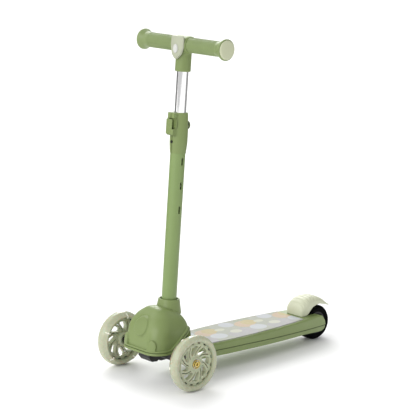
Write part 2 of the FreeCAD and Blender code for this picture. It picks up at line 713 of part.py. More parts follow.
def handlebar():
    inner_tube()
    detent()
    t_housing()
    badge()
    bush = turned("inner_end_bush", [
        (8, D.inner_low - 8), (D.stem_bore - D.running_gap, D.inner_low - 8),
        (D.stem_bore - D.running_gap, D.inner_low), (D.inner_bore, D.inner_low),
        (D.inner_bore, D.inner_low + 12), (8, D.inner_low + 12),
    ])
    on_stem(bush)
    bar = turned("handlebar_tube", tube(D.bar_radius - 1.5, D.bar_radius, -D.bar_half, D.bar_half))
    across_stem(bar, 0, D.bar_level)
    screws = new_body("housing_screws")
    shanks, heads = sketch_on(screws, "XZ", -9.5), sketch_on(screws, "XZ", -16.6)
    for height in HOUSING_SCREWS:
        circle(shanks, 0, height, 2)
        circle(heads, 0, height, 3.8)
    pad(screws, shanks, 8, reverse=True)
    pad(screws, heads, 1.7, reverse=True)
    on_stem(screws)
    for side, sign in (("left", 1), ("right", -1)):
        grip = turned(f"{side}_grip", [
            (D.bar_radius, D.housing_half), (D.grip_radius - 0.8, D.housing_half),
            (D.grip_radius, D.housing_half + 1.5), (D.grip_radius, 108), (D.grip_radius + 1.2, 118),
            (D.flange_radius - 2, D.flange_x), (D.flange_radius, D.flange_x + 1.5),
            (D.flange_radius, D.bar_half), (D.bar_radius, D.bar_half),
        ])
        cap = turned(f"{side}_grip_cap", [
            (0, D.bar_half), (D.cap_radius, D.bar_half), (D.cap_radius, D.cap_face - 1.5),
            (D.cap_radius - 1.5, D.cap_face), (0, D.cap_face),
        ])
        for body in (grip, cap):
            across_stem(body, 0, D.bar_level, sign)


# ---------------------------------------------------------------- dome cover

DOME_LEVELS = (
    # height, half width, front, rear, corner radius
    (62, 60.5, -283, -170, 34), (95, 60, -278.5, -170, 33), (120, 56, -271.5, -173, 31),
    (140, 46.5, -259.5, -184, 28), (152, 33, -247, -199, 20), (160, 17, -237, -219, 8.5),
)


def dome_cover():
    """Rounded hollow cover over the truck, with an arch each side for the axle to rise in."""
    body = new_body("dome_cover")
    for kind, inset in (("AdditiveLoft", 0), ("SubtractiveLoft", D.dome_wall)):
        sections = []
        for height, half, front, rear, corner in DOME_LEVELS:
            drop = inset * (1 if height > D.dome_low.value else 2)
            sketch = sketch_on(body, "XY", height - drop)
            sections.append(rounded(sketch, half - inset, front + inset, rear - inset, corner - inset))
        loft = body.newObject(f"PartDesign::{kind}", kind)
        loft.Profile = sections[0]
        loft.Sections = sections[1:]
    arch = outline(sketch_on(body, "YZ"), [
        (-262, 40), (-150, 40), (-150, D.deck_top + 2.2), (-173.5, D.deck_top + 2.2), (-174.5, 96),
        (-182, 106), (-190, 104), (-258, 62.6), (-262, 62.6),
    ])
    pocket(body, arch)
    gap = D.body_gap
    slope = (D.cone_foot - D.cone_top) / (D.cone_high - D.cone_low)
    foot_y, foot_z = stem_point(0, 0)
    cut = sketch_on(body, "XZ", -foot_y, (0, foot_z), -D.stem_lean)
    low, high = D.cone_low - 22, D.cone_high + 10
    outline(cut, [(0, low), (D.cone_foot + gap + slope * 22, low),
                  (D.cone_top + gap - slope * 10, high), (0, high)])
    groove(body, cut)


# ---------------------------------------------------------------- deck

DECK_SCREWS = [(x, y) for x in (-36, 36) for y in (-150, -60, 40, 130)]


def deck_half(y):
    """Half the deck's width at y, behind its widest place."""
    share = (y - D.deck_widest_y) / (D.deck_end - D.deck_widest_y)
    return D.deck_widest - (D.deck_widest - D.deck_end_half) * share * share


def plan_radius(half_change, length):
    """Radius of an arc that starts straight along the deck and moves in by half_change over length."""
    return (half_change * half_change + length * length) / (2 * half_change)


def deck_plan(sketch, inset, front, end):
    """The deck seen from above, brought in by an inset and ended at front and end."""
    wide = D.deck_widest - inset
    nose = D.deck_widest_y - front
    nose_half = D.deck_front_half - inset
    tail_half = deck_half(end) - inset
    fore = plan_radius(wide - nose_half, nose)
    aft = plan_radius(wide - tail_half, end - D.deck_widest_y)
    return outline(sketch, [
        (-nose_half, front), (nose_half, front), (wide, D.deck_widest_y), (tail_half, end),
        (-tail_half, end), (-wide, D.deck_widest_y),
    ], {1: fore, 2: aft, 4: aft, 5: fore})


SEAM = [(D.deck_front - 4, 52), (D.deck_widest_y, 49.5), (D.deck_end + 4, 38.4)]


def axle_seat(body):
    """Stepped half round for the rear axle and its heads, trapped between the two shells."""
    sketch = sketch_on(body, "XY", D.rear_axle_z, (0, D.rear_axle_y))
    outline(sketch, [(-31.2, 0), (31.2, 0), (31.2, 6.6), (25.9, 6.6), (25.9, D.axle_radius),
                     (-25.9, D.axle_radius), (-25.9, 6.6), (-31.2, 6.6)])
    groove(body, sketch, "H_Axis")


def wheel_slot(body):
    """Gap between the deck's two rear arms for the wheel."""
    half = D.wheel_slot_half
    pocket(body, rectangle(sketch_on(body, "XY"), -half, half, D.wheel_slot_front, D.deck_end + 11))


def deck_upper_shell():
    body = new_body("deck_upper_shell")
    pad(body, deck_plan(sketch_on(body, "XY", 34), 0, D.deck_front, D.deck_end), D.deck_top - 34)
    soften(body, "Fillet", 4, lambda edge: abs(edge.BoundBox.ZMin - D.deck_top.value) < 0.01
           and edge.Length > 80)
    below = [(D.deck_front - 4, 20), (D.deck_end + 4, 20), *reversed(SEAM)]
    pocket(body, outline(sketch_on(body, "YZ"), below))
    tail = outline(sketch_on(body, "YZ"), [
        (228, 65.5), (238, 61.5), (248, 49), (251.2, 36), (260, 36), (260, 70), (228, 70),
    ])
    pocket(body, tail)
    inner = deck_plan(sketch_on(body, "XY", D.deck_top - D.deck_wall), D.deck_wall,
                      D.deck_front + D.deck_wall, D.cavity_end)
    pocket(body, inner, 40)
    bosses = sketch_on(body, "XY", D.deck_top - D.deck_wall)
    for x, y in DECK_SCREWS:
        circle(bosses, x, y, 5)
    pad(body, bosses, 9.5, reverse=True)
    wheel_slot(body)
    holes = sketch_on(body, "XY", 50)
    for x, y in DECK_SCREWS:
        circle(holes, x, y, D.screw_radius)
    pocket(body, holes, 10, reverse=True)
    lug = rectangle(sketch_on(body, "YZ"), D.brake_pivot_y - 6, D.brake_pivot_y + 6,
                    D.deck_top - 1, D.brake_pivot_z + 5)
    pad(body, lug, 12, both=True)
    pocket(body, circle(sketch_on(body, "YZ"), D.brake_pivot_y, D.brake_pivot_z, D.brake_pin))
    tongue_half = D.lug_radius + D.body_gap
    tongue = rectangle(sketch_on(body, "XZ", -D.deck_front + 5), -tongue_half, tongue_half,
                       30, D.floor_top + 9 + D.body_gap)
    pocket(body, tongue, 12)
    axle_seat(body)


def deck_lower_shell():
    body = new_body("deck_lower_shell")
    lid = [(D.deck_end + 4, 70), (D.deck_front - 4, 70)]
    for inset, drop in ((1.2, D.seam_gap), (3, 0)):
        pad(body, deck_plan(sketch_on(body, "XY", 20), inset, D.deck_front + inset, D.deck_end - 1), 36)
        above = [(y, z - drop) for y, z in SEAM] + lid
        pocket(body, outline(sketch_on(body, "YZ"), above))
    under = outline(sketch_on(body, "YZ"), [
        (D.deck_front - 4, 10), (D.deck_end + 4, 10), (D.deck_end + 4, 40), (246, 29), (235, 26),
        (176, 30.5), (D.deck_widest_y, 35.5), (D.deck_front - 4, 37.5),
    ])
    pocket(body, under)
    inner = deck_plan(sketch_on(body, "XY", D.floor_top), D.deck_wall + 1.2,
                      D.deck_front + D.deck_wall + 1, D.cavity_end)
    pocket(body, inner, 20, reverse=True)
    bosses = sketch_on(body, "XY", D.floor_top - 1)
    for x, y in DECK_SCREWS:
        circle(bosses, x, y, 5)
    pad(body, bosses, 12.8)
    wheel_slot(body)
    holes, recesses = sketch_on(body, "XY", 20), sketch_on(body, "XY", 20)
    for x, y in DECK_SCREWS + FRAME_SCREWS:
        circle(holes, x, y, D.screw_radius)
        circle(recesses, x, y, D.screw_head + 0.2)
    pocket(body, holes, 40, reverse=True)
    pocket(body, recesses, D.screw_seat - 20, reverse=True)
    tongue_half = D.lug_radius + D.body_gap
    tongue = rectangle(sketch_on(body, "XZ", -D.deck_front + 5), -tongue_half, tongue_half,
                       D.floor_top, 60)
    pocket(body, tongue, 12)
    axle_seat(body)


def deck_parts():
    deck_upper_shell()
    deck_lower_shell()
    mat = new_body("deck_grip_mat")
    plan = deck_plan(sketch_on(mat, "XY", D.deck_top), D.mat_margin, D.mat_front, D.mat_end)
    pad(mat, plan, D.mat_thick)
    for name, places, top in (("deck_screws", DECK_SCREWS, 58), ("frame_screws", FRAME_SCREWS, 47)):
        body = new_body(name)
        shanks, heads = sketch_on(body, "XY", D.screw_seat), sketch_on(body, "XY", D.screw_seat - 1.4)
        for x, y in places:
            circle(shanks, x, y, D.screw_radius)
            circle(heads, x, y, D.screw_head)
        pad(body, shanks, top - D.screw_seat)
        pad(body, heads, 1.4)


# ---------------------------------------------------------------- foot brake

BRAKE_STATIONS = (
    # y, lower edge, shoulder, crown, half width
    (178.5, 65.6, 73, 83, 22), (184, 65.6, 77, 88.5, 24.5), (192, 65.7, 83, 96.5, 26),
    (204, 67.2, 88, 103, 26.5), (211, 73.5, 90, 104.7, 26.3), (219, 79.8, 90.8, 105, 26),
    (237, 85.3, 91, 103.8, 25.5), (255, 82.5, 87, 96.5, 24), (264, 81, 83, 89.7, 22.3),
    (276, 76.5, 77.5, 80.5, 20),
)
BRAKE_HOLLOW = (
    (182.7, 55, 73, 83.5, 20), (192, 55, 81, 93, 22.5), (204, 55, 85.5, 99.8, 23.3),
    (219, 55, 88, 101.8, 22.9), (237, 55, 88.5, 100.6, 22.4), (255, 55, 84.5, 93.3, 21),
    (264, 55, 81, 87.5, 19.5),
)


def arch_section(body, y, low, shoulder, crown, half):
    """Upright sides under a round crown, across the scooter at y."""
    rise = crown - shoulder
    radius = (half * half + rise * rise) / (2 * rise)
    return outline(sketch_on(body, "XZ", -y), [
        (-half, low), (half, low), (half, shoulder), (-half, shoulder),
    ], {2: radius})


def brake_fender():
    """Hooded mudguard that a foot presses onto the rear tyre, hinged at its front end."""
    body = new_body("brake_fender")
    for kind, stations in (("AdditiveLoft", BRAKE_STATIONS), ("SubtractiveLoft", BRAKE_HOLLOW)):
        sections = [arch_section(body, *station) for station in stations]
        loft = body.newObject(f"PartDesign::{kind}", kind)
        loft.Profile = sections[0]
        loft.Sections = sections[1:]
        loft.Ruled = True
    for offset, reverse in ((9, False), (-9, True)):
        ear = outline(sketch_on(body, "YZ", offset), [
            (D.brake_pivot_y - 4, 67.3), (D.brake_pivot_y + 5, 67.3), (D.brake_pivot_y + 8, 95),
            (D.brake_pivot_y - 1, 88.5),
        ])
        pad(body, ear, 4, reverse=reverse)
    block = outline(sketch_on(body, "YZ"), [(232, 88), (252, 86.6), (252, 95.2), (232, 101.5)])
    pad(body, block, 22, both=True)
    pin = circle(sketch_on(body, "YZ"), D.brake_pivot_y, D.brake_pivot_z, D.brake_pin + D.running_gap)
    pocket(body, pin)


def brake_parts():
    brake_fender()
    pin = turned("brake_hinge_pin", [(0, -13), (D.brake_pin, -13), (D.brake_pin, 13), (0, 13)])
    place(pin, 0, D.brake_pivot_y, D.brake_pivot_z, (0, 1, 0), 90)
    shoe = new_body("brake_shoe")
    band = outline(sketch_on(shoe, "YZ"), [(232, 86), (252, 84.6), (252, 86.6), (232, 88)])
    pad(shoe, band, 22, both=True)
    springs = turned("brake_springs", coil_profile(6.3, 3, 0.8, 3.1), coil_profile(-8.7, 3, 0.8, 3.1))
    place(springs, 0, D.brake_pivot_y, D.brake_pivot_z, (0, 1, 0), 90)


def coil_profile(low, turns, wire, inner):
    """Half section of a close-wound coil, as a sleeve with a ridge for each turn."""
    outer, valley = inner + wire, inner + 0.7 * wire
    profile = [(inner, low), (valley, low)]
    for turn in range(turns):
        start = low + turn * wire
        profile += [(outer, start + 0.2 * wire), (outer, start + 0.8 * wire), (valley, start + wire)]
    return [*profile, (inner, low + turns * wire)]


# ---------------------------------------------------------------- build, check and write

def main():
    for side, sign in (("left", 1), ("right", -1)):
        front_wheel(side, sign)
    rear_wheel()
    truck()
    front_frame()
    chassis_hardware()
    stem_parts()
    clamp_parts()
    handlebar()
    dome_cover()
    deck_parts()
    brake_parts()
    doc.recompute()
    for thing in doc.Objects:
        if "Invalid" in thing.State or "Error" in thing.State:
            raise RuntimeError(f"{thing.Name} is {thing.State}")
    for part in PARTS:
        if part.Shape.isNull() or not part.Shape.isValid():
            raise RuntimeError(f"{part.Label} has no valid shape")
    os.makedirs("parts", exist_ok=True)
    for part in PARTS:
        part.Shape.exportStep(f"parts/{part.Label}.step")


main()
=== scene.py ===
import json
import math

import bmesh
import bpy
from mathutils import Matrix, Vector


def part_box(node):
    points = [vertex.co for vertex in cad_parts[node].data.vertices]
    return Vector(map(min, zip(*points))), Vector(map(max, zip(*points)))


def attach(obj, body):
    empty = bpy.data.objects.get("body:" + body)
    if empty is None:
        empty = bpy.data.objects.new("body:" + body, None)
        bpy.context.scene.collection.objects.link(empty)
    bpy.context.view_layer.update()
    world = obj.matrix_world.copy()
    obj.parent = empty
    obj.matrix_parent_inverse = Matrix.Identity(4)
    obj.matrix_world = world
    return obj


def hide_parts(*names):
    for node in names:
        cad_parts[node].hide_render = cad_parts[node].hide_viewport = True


# Looks for a child's three-wheeled kick scooter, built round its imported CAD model.
# The frame is the CAD's own, in metres: +Z up, -Y the way it rides. Outlines below are in
# millimetres, in each part's own axes, and are scaled by MM as they become meshes.

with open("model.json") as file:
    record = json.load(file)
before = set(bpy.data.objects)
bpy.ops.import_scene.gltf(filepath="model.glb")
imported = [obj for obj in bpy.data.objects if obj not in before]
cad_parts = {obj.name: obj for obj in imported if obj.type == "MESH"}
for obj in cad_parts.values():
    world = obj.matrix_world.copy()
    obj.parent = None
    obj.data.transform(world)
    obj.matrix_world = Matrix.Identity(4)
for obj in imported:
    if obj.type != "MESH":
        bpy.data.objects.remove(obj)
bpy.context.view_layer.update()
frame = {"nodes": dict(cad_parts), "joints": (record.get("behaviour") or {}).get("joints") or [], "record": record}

MM = 0.001
NODES = frame["nodes"]
JOINTS = {joint["name"]: joint for joint in frame["joints"]}
UP, ACROSS, AHEAD = Vector((0, 0, 1)), Vector((1, 0, 0)), Vector((0, -1, 0))


# ---------------------------------------------------------------- measuring the frame

def middle(node):
    low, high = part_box(node)
    return (low + high) / 2


def extent(node):
    low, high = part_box(node)
    return high - low


def own_axes(origin, z_axis, y_axis):
    """Placement whose Z follows z_axis and whose Y is as near y_axis as it can be."""
    z_axis = Vector(z_axis).normalized()
    x_axis = Vector(y_axis).cross(z_axis).normalized()
    turn = Matrix((x_axis, z_axis.cross(x_axis), z_axis)).transposed()
    return Matrix.Translation(origin) @ turn.to_4x4()


BAR_CENTRE = middle("handlebar_tube")
STEM_WAY = Vector(JOINTS["bar_height"]["axis"]).normalized()
STEM = own_axes(BAR_CENTRE, STEM_WAY, -AHEAD)
# heights along the stem are counted from near its foot, in millimetres, and the bar's centre is
# this high; heights in STEM's own axes start at the bar
BAR_LEVEL = 606.3


# ---------------------------------------------------------------- mesh helpers

def rounded(corners, steps=5):
    """Closed outline whose corners (x, y, radius) turn into short curves where they have a radius."""
    points = []
    count = len(corners)
    for i, corner in enumerate(corners):
        here = Vector(corner[:2])
        radius = corner[2] if len(corner) > 2 else 0
        if not radius:
            points.append(tuple(here))
            continue
        back = Vector(corners[i - 1][:2]) - here
        on = Vector(corners[(i + 1) % count][:2]) - here
        half = max(back.angle(on) / 2, 0.05)
        reach = min(radius / math.tan(half), back.length * 0.48, on.length * 0.48)
        start, end = here + back.normalized() * reach, here + on.normalized() * reach
        for k in range(steps + 1):
            t = k / steps
            points.append(tuple(start * (1 - t) ** 2 + here * 2 * t * (1 - t) + end * t * t))
    return points


def joined(name, verts, faces):
    """Mesh in metres from points in millimetres, with doubled points joined and faces turned out."""
    mesh = bpy.data.meshes.new(name)
    mesh.from_pydata([tuple(Vector(v) * MM) for v in verts], [], faces)
    tidy = bmesh.new()
    tidy.from_mesh(mesh)
    bmesh.ops.remove_doubles(tidy, verts=tidy.verts, dist=2e-6)
    bmesh.ops.dissolve_degenerate(tidy, edges=tidy.edges, dist=1e-7)
    bmesh.ops.recalc_face_normals(tidy, faces=tidy.faces)
    tidy.to_mesh(mesh)
    tidy.free()
    return mesh


def lathe(name, *outlines, steps=128):
    """Turned mesh from closed (radius, height) outlines."""
    verts, faces = [], []
    for outline in outlines:
        base, count = len(verts), len(outline)
        for i in range(steps):
            angle = math.tau * i / steps
            verts += [(r * math.cos(angle), r * math.sin(angle), z) for r, z in outline]
        for i in range(steps):
            here, there = base + i * count, base + (i + 1) % steps * count
            for j in range(count):
                k = (j + 1) % count
                faces.append((here + j, here + k, there + k, there + j))
    return joined(name, verts, faces)


def loft(name, rings):
    """Mesh through rings of equal length, in order, closed across the first and the last."""
    count = len(rings[0])
    verts = [point for ring in rings for point in ring]
    faces = []
    for i in range(len(rings) - 1):
        for j in range(count):
            k = (j + 1) % count
            faces.append((i * count + j, i * count + k, (i + 1) * count + k, (i + 1) * count + j))
    faces.append(tuple(range(count)))
    faces.append(tuple(range((len(rings) - 1) * count, len(rings) * count)))
    return joined(name, verts, faces)


def plate(name, outlines, low, high, edge=0.4):
    """Flat plate with holes, from its closed outlines, between two heights, with eased edges."""
    curve = bpy.data.curves.new(name, "CURVE")
    curve.dimensions = "2D"
    curve.fill_mode = "BOTH"
    curve.extrude = ((high - low) / 2 - edge) * MM
    curve.bevel_depth = edge * MM
    curve.bevel_resolution = 2
    curve.offset = -edge * MM
    for outline in outlines:
        spline = curve.splines.new("POLY")
        spline.points.add(len(outline) - 1)
        for point, (x, y) in zip(spline.points, outline):
            point.co = (x * MM, y * MM, 0, 1)
        spline.use_cyclic_u = True
    holder = bpy.data.objects.new(name, curve)
    mesh = bpy.data.meshes.new_from_object(holder)
    bpy.data.objects.remove(holder)
    bpy.data.curves.remove(curve)
    mesh.transform(Matrix.Translation((0, 0, (low + high) / 2 * MM)))
    tidy = bmesh.new()
    tidy.from_mesh(mesh)
    bmesh.ops.remove_doubles(tidy, verts=tidy.verts, dist=2e-6)
    tidy.to_mesh(mesh)
    tidy.free()
    return mesh


def merged(name, meshes):
    """One mesh out of several, each (mesh, placement) or a mesh alone."""
    whole = bmesh.new()
    for entry in meshes:
        mesh, placement = entry if isinstance(entry, tuple) else (entry, Matrix())
        copy = mesh.copy()
        copy.transform(placement)
        whole.from_mesh(copy)
        bpy.data.meshes.remove(copy)
    result = bpy.data.meshes.new(name)
    whole.to_mesh(result)
    whole.free()
    return result


def circle(radius, count=64, x=0, y=0, start=0):
    return [(x + radius * math.cos(start + math.tau * i / count),
             y + radius * math.sin(start + math.tau * i / count)) for i in range(count)]


def turned_outline(points, angle):
    cosine, sine = math.cos(angle), math.sin(angle)
    return [(x * cosine - y * sine, x * sine + y * cosine) for x, y in points]


def add(name, mesh, body, material, replaced=(), at=None, sharp=38):
    """A piece of the scooter: placed, shaded, painted, riding on its body."""
    if at is not None:
        mesh.transform(at)
    piece = bpy.data.objects.new(name, mesh)
    bpy.context.scene.collection.objects.link(piece)
    mesh.materials.clear()
    mesh.materials.append(material)
    mesh.shade_smooth()
    mesh.set_sharp_from_angle(angle=math.radians(sharp))
    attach(piece, body)
    if replaced:
        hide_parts(*replaced)
    return piece


# ---------------------------------------------------------------- materials

def linear(red, green, blue):
    """Linear colour from 0-255 screen values."""
    def channel(value):
        value /= 255
        return value / 12.92 if value <= 0.04045 else ((value + 0.055) / 1.055) ** 2.4
    return (channel(red), channel(green), channel(blue), 1)


def shaded(colour, factor):
    """Colour made darker or lighter by a factor."""
    return (*[min(1, c * factor) for c in colour[:3]], 1)


# painted shade in crevices: how dark it goes, and how wide a slot still darkens, in millimetres
CREVICE_SHADE_TONE = 0.3
CREVICE_SHADE_REACH = 5


class Paint:
    """A material being built: its principled shader and short calls for the nodes round it."""

    def __init__(self, name, **settings):
        self.material = bpy.data.materials.new(name)
        self.material.use_nodes = True
        self.nodes = self.material.node_tree.nodes
        self.links = self.material.node_tree.links
        self.shader = self.nodes["Principled BSDF"]
        for socket, value in settings.items():
            self.shader.inputs[socket.replace("_", " ")].default_value = value
        self.coordinates = self.node("ShaderNodeTexCoord")
        self.material.diffuse_color = settings.get("Base_Color", (0.5, 0.5, 0.5, 1))

    def node(self, kind, **settings):
        made = self.nodes.new(kind)
        for name, value in settings.items():
            setattr(made, name, value)
        return made

    def link(self, start, end):
        self.links.new(start, end)

    def noise(self, scale, detail=3, stretch=None):
        texture = self.node("ShaderNodeTexNoise")
        texture.inputs["Scale"].default_value = scale
        texture.inputs["Detail"].default_value = detail
        source = self.coordinates.outputs["Object"]
        if stretch:
            mapping = self.node("ShaderNodeMapping")
            mapping.inputs["Scale"].default_value = stretch
            self.link(source, mapping.inputs["Vector"])
            source = mapping.outputs["Vector"]
        self.link(source, texture.inputs["Vector"])
        return texture.outputs["Fac"]

    def ramp(self, source, *stops):
        ramp = self.node("ShaderNodeValToRGB")
        elements = ramp.color_ramp.elements
        while len(elements) < len(stops):
            elements.new(0.5)
        for element, (position, colour) in zip(elements, stops):
            element.position = position
            element.color = colour if isinstance(colour, tuple) else (colour, colour, colour, 1)
        self.link(source, ramp.inputs["Fac"])
        return ramp.outputs["Color"]

    def blend(self, factor, first, second):
        """Mix of two colours, each a socket or a plain colour."""
        mix = self.node("ShaderNodeMix", data_type="RGBA")
        sockets = (mix.inputs[0], mix.inputs[6], mix.inputs[7])
        for socket, value in zip(sockets, (factor, first, second)):
            if isinstance(value, (int, float, tuple)):
                socket.default_value = value
            else:
                self.link(value, socket)
        return mix.outputs[2]

    def math(self, kind, *values):
        made = self.node("ShaderNodeMath", operation=kind)
        for socket, value in zip(made.inputs, values):
            if isinstance(value, (int, float)):
                socket.default_value = value
            else:
                self.link(value, socket)
        return made.outputs[0]

    def painted_crevice_shade(self, colour, dark, reach):
        """Colour with painted shade: it turns dark in corners and in slots narrower than reach, in millimetres."""
        # painted shade: ambient occlusion darkens the colour where shade falls
        near = self.node("ShaderNodeAmbientOcclusion")
        near.samples = 8
        near.inputs["Distance"].default_value = reach * MM
        return self.blend(self.ramp(near.outputs["AO"], (0.15, 1.0), (0.65, 0.0)), colour, dark)

    def mottled(self, colour, spread, scale, detail):
        """Colour that drifts by a share to either side, in soft patches."""
        return self.ramp(self.noise(scale, detail), (0.3, shaded(colour, 1 - spread)),
                         (0.7, shaded(colour, 1 + spread)))

    def show(self, colour):
        self.link(colour, self.shader.inputs["Base Color"])

    def roughen(self, low, high, scale):
        """Roughness that drifts between two values, in patches."""
        rough = self.ramp(self.noise(scale, 2), (0.3, low), (0.7, high))
        self.link(rough, self.shader.inputs["Roughness"])

    def bump(self, height, strength, distance):
        bump = self.node("ShaderNodeBump")
        bump.inputs["Strength"].default_value = strength
        bump.inputs["Distance"].default_value = distance
        self.link(height, bump.inputs["Height"])
        previous = self.shader.inputs["Normal"]
        if previous.links:
            self.link(previous.links[0].from_socket, bump.inputs["Normal"])
        self.link(bump.outputs["Normal"], previous)


def moulded(name, colour, roughness=0.32, depth=0.00003, mottle=0.03):
    """Moulded plastic: a fine spark-eroded grain over faint flow mottling, with shade painted darker in crevices.
    """
    paint = Paint(name, Base_Color=colour, Specular_IOR_Level=0.4)
    flow = paint.mottled(colour, mottle, 24, 4)
    # painted shade: the colour darkens in crevices, where shade falls
    paint.show(paint.painted_crevice_shade(flow, shaded(colour, CREVICE_SHADE_TONE), CREVICE_SHADE_REACH))
    paint.roughen(roughness - 0.04, roughness + 0.05, 60)
    paint.bump(paint.noise(900, 2), 0.2, depth)
    return paint.material


def coated(name, colour, roughness=0.36):
    """Powder coat over steel: soft orange peel under a thin gloss."""
    paint = Paint(name, Base_Color=colour, Specular_IOR_Level=0.5, Coat_Weight=0.1,
                  Coat_Roughness=0.25)
    paint.show(paint.mottled(colour, 0.02, 18, 3))
    paint.roughen(roughness - 0.03, roughness + 0.04, 50)
    paint.bump(paint.noise(260, 2), 0.08, 0.00004)
    return paint.material


def metal(name, colour, roughness, stretch=(1, 1, 1), scratch=0.12, tone=0.06):
    """Bare metal with fine marks along one direction."""
    paint = Paint(name, Base_Color=colour, Metallic=1.0)
    marks = paint.noise(900, 3, stretch)
    paint.show(paint.mottled(colour, tone, 45, 4))
    rough = paint.ramp(marks, (0.35, max(0.02, roughness - 0.04)), (0.75, roughness + 0.05))
    paint.link(rough, paint.shader.inputs["Roughness"])
    if scratch:
        paint.bump(marks, scratch, 0.00002)
    return paint.material


def rubber(name, colour, roughness=0.62, gloss=0.3):
    """Rubber: nearly matt, with a fine grain."""
    paint = Paint(name, Base_Color=colour, Specular_IOR_Level=gloss)
    paint.show(paint.mottled(colour, 0.04, 40, 3))
    paint.roughen(roughness - 0.05, roughness + 0.05, 90)
    paint.bump(paint.noise(700, 2), 0.2, 0.00004)
    return paint.material


def cloudy_cast(name, colour, roughness, glow, shade_reach):
    """Cast translucent plastic: cloudy, with light spreading inside it under a clear skin, and shade painted
    darker in crevices.
    """
    paint = Paint(name, Base_Color=colour, IOR=1.46, Subsurface_Weight=glow,
                  Subsurface_Scale=0.004, Coat_Weight=0.35, Coat_Roughness=0.15)
    cloud = paint.mottled(colour, 0.04, 22, 4)
    # painted shade: the colour darkens in crevices, where shade falls
    paint.show(paint.painted_crevice_shade(cloud, shaded(colour, CREVICE_SHADE_TONE), shade_reach))
    paint.roughen(roughness - 0.05, roughness + 0.06, 70)
    paint.bump(paint.noise(120, 2), 0.1, 0.00006)
    return paint.material


SAGE = linear(121, 137, 84)
SAGE_PAINT = linear(121, 142, 84)
SAGE_GRIP = linear(125, 141, 91)
CREAM = linear(195, 198, 173)
CREAM_CAP = linear(188, 192, 162)

MATERIALS = {
    "sage_plastic": moulded("sage_plastic", SAGE, roughness=0.36),
    "sage_paint": coated("sage_paint", SAGE_PAINT),
    "cream_plastic": moulded("cream_plastic", CREAM, roughness=0.38),
    "cap_plastic": moulded("cap_plastic", CREAM_CAP, roughness=0.4),
    "badge_plastic": moulded("badge_plastic", linear(170, 174, 152), roughness=0.34),
    "badge_face": moulded("badge_face", linear(198, 199, 194), roughness=0.2, depth=0.00001),
    "grip_rubber": rubber("grip_rubber", SAGE_GRIP, roughness=0.42, gloss=0.45),
    # for the tyre and the core, the last number is how far the painted crevice shade reaches, in millimetres
    "clear_tyre": cloudy_cast("clear_tyre", linear(174, 177, 150), 0.26, 0.25, 3),
    "core_plastic": cloudy_cast("core_plastic", linear(172, 177, 146), 0.22, 0.15, 9),
    "light_capsule": moulded("light_capsule", linear(235, 234, 220), roughness=0.25, mottle=0.02),
    "black_tyre": rubber("black_tyre", linear(5, 5, 6), roughness=0.8, gloss=0.06),
    "black_plastic": moulded("black_plastic", linear(14, 14, 14), roughness=0.5, mottle=0.2),
    "black_metal": coated("black_metal", linear(13, 13, 14), roughness=0.45),
    "zinc_steel": metal("zinc_steel", (0.52, 0.52, 0.50, 1), 0.3),
    "bearing_steel": metal("bearing_steel", (0.42, 0.42, 0.42, 1), 0.24),
    "chrome": metal("chrome", (0.9, 0.9, 0.9, 1), 0.07, (1, 1, 0.02), 0.0, 0.01),
    "brass": metal("brass", linear(206, 186, 112), 0.26),
    "black_rubber": rubber("black_rubber", linear(10, 10, 10)),
    "white_nylon": moulded("white_nylon", linear(205, 202, 190), roughness=0.5),
}

CAD_MATERIALS = {entry["node"]: entry["material_slot"] for entry in frame["record"]["subparts"]}


# ---------------------------------------------------------------- front wheels

WINDOWS, DASHES, LIGHTS = 8, 16, 5
# degrees by which a window turns back for each millimetre out
WINDOW_LEAN = 1.35
TYRE_BORE = 47.6
CORE_RING = 41.2
FIRST_WINDOW = math.radians(10)
FIRST_LIGHT = {"left": math.radians(40), "right": math.radians(97)}


def swirl(points, radius):
    """Each (radius, angle in degrees) as a corner, turned back as it goes out, like fan blades."""
    corners = []
    for r, degrees in points:
        angle = math.radians(degrees - WINDOW_LEAN * (r - 30))
        corners.append((r * math.cos(angle), r * math.sin(angle), radius))
    return corners


def wheel_plate():
    """Outlines of the core's plate: hub hole, swirled windows, slits between them and rim dashes."""
    window = rounded(swirl([(20, -12), (29.5, -16.5), (39, -12.5), (39, 11.5), (29.5, 11.5),
                            (20, 7)], 3.2), 4)
    slit = rounded(swirl([(17.5, -2.2), (24, -2.4), (31, -2.2), (38.6, -1.6), (38.6, 1.4),
                          (31, 1.6), (24, 1.8), (17.5, 2.2)], 0.9), 3)
    dash = rounded([(43.1, -3.6, 0.9), (45.7, -3.6, 0.9), (45.7, 3.6, 0.9), (43.1, 3.6, 0.9)], 3)
    outlines = [circle(47.0, 160), circle(11.3, 64)]
    for i in range(WINDOWS):
        angle = FIRST_WINDOW + math.tau * i / WINDOWS
        outlines.append(turned_outline(window, angle))
        outlines.append(turned_outline(slit, angle + math.pi / WINDOWS))
    for i in range(DASHES):
        outlines.append(turned_outline(dash, FIRST_WINDOW + math.tau * i / DASHES))
    return outlines


def front_tyre(side, radius, half, place):
    """Cast tyre: bulging tread, with its shoulder toward the deck fully rounded."""
    outline = rounded([
        (TYRE_BORE, -half + 1.4, 1), (TYRE_BORE + 3.2, -half + 0.7, 1.2),
        (TYRE_BORE + 4.2, -half, 0.6), (radius - 10.5, -half, 7), (radius - 1, -half + 11, 12),
        (radius, half - 6.5, 9), (radius - 5, half, 5), (TYRE_BORE + 4.2, half, 0.6),
        (TYRE_BORE + 3.2, half - 0.7, 1.2), (TYRE_BORE, half - 1.4, 1),
    ], 8)
    add(f"{side}_tyre_cast", lathe("tyre", outline, steps=192), f"{side}_wheel",
        MATERIALS["clear_tyre"], [f"{side}_tyre"], place)


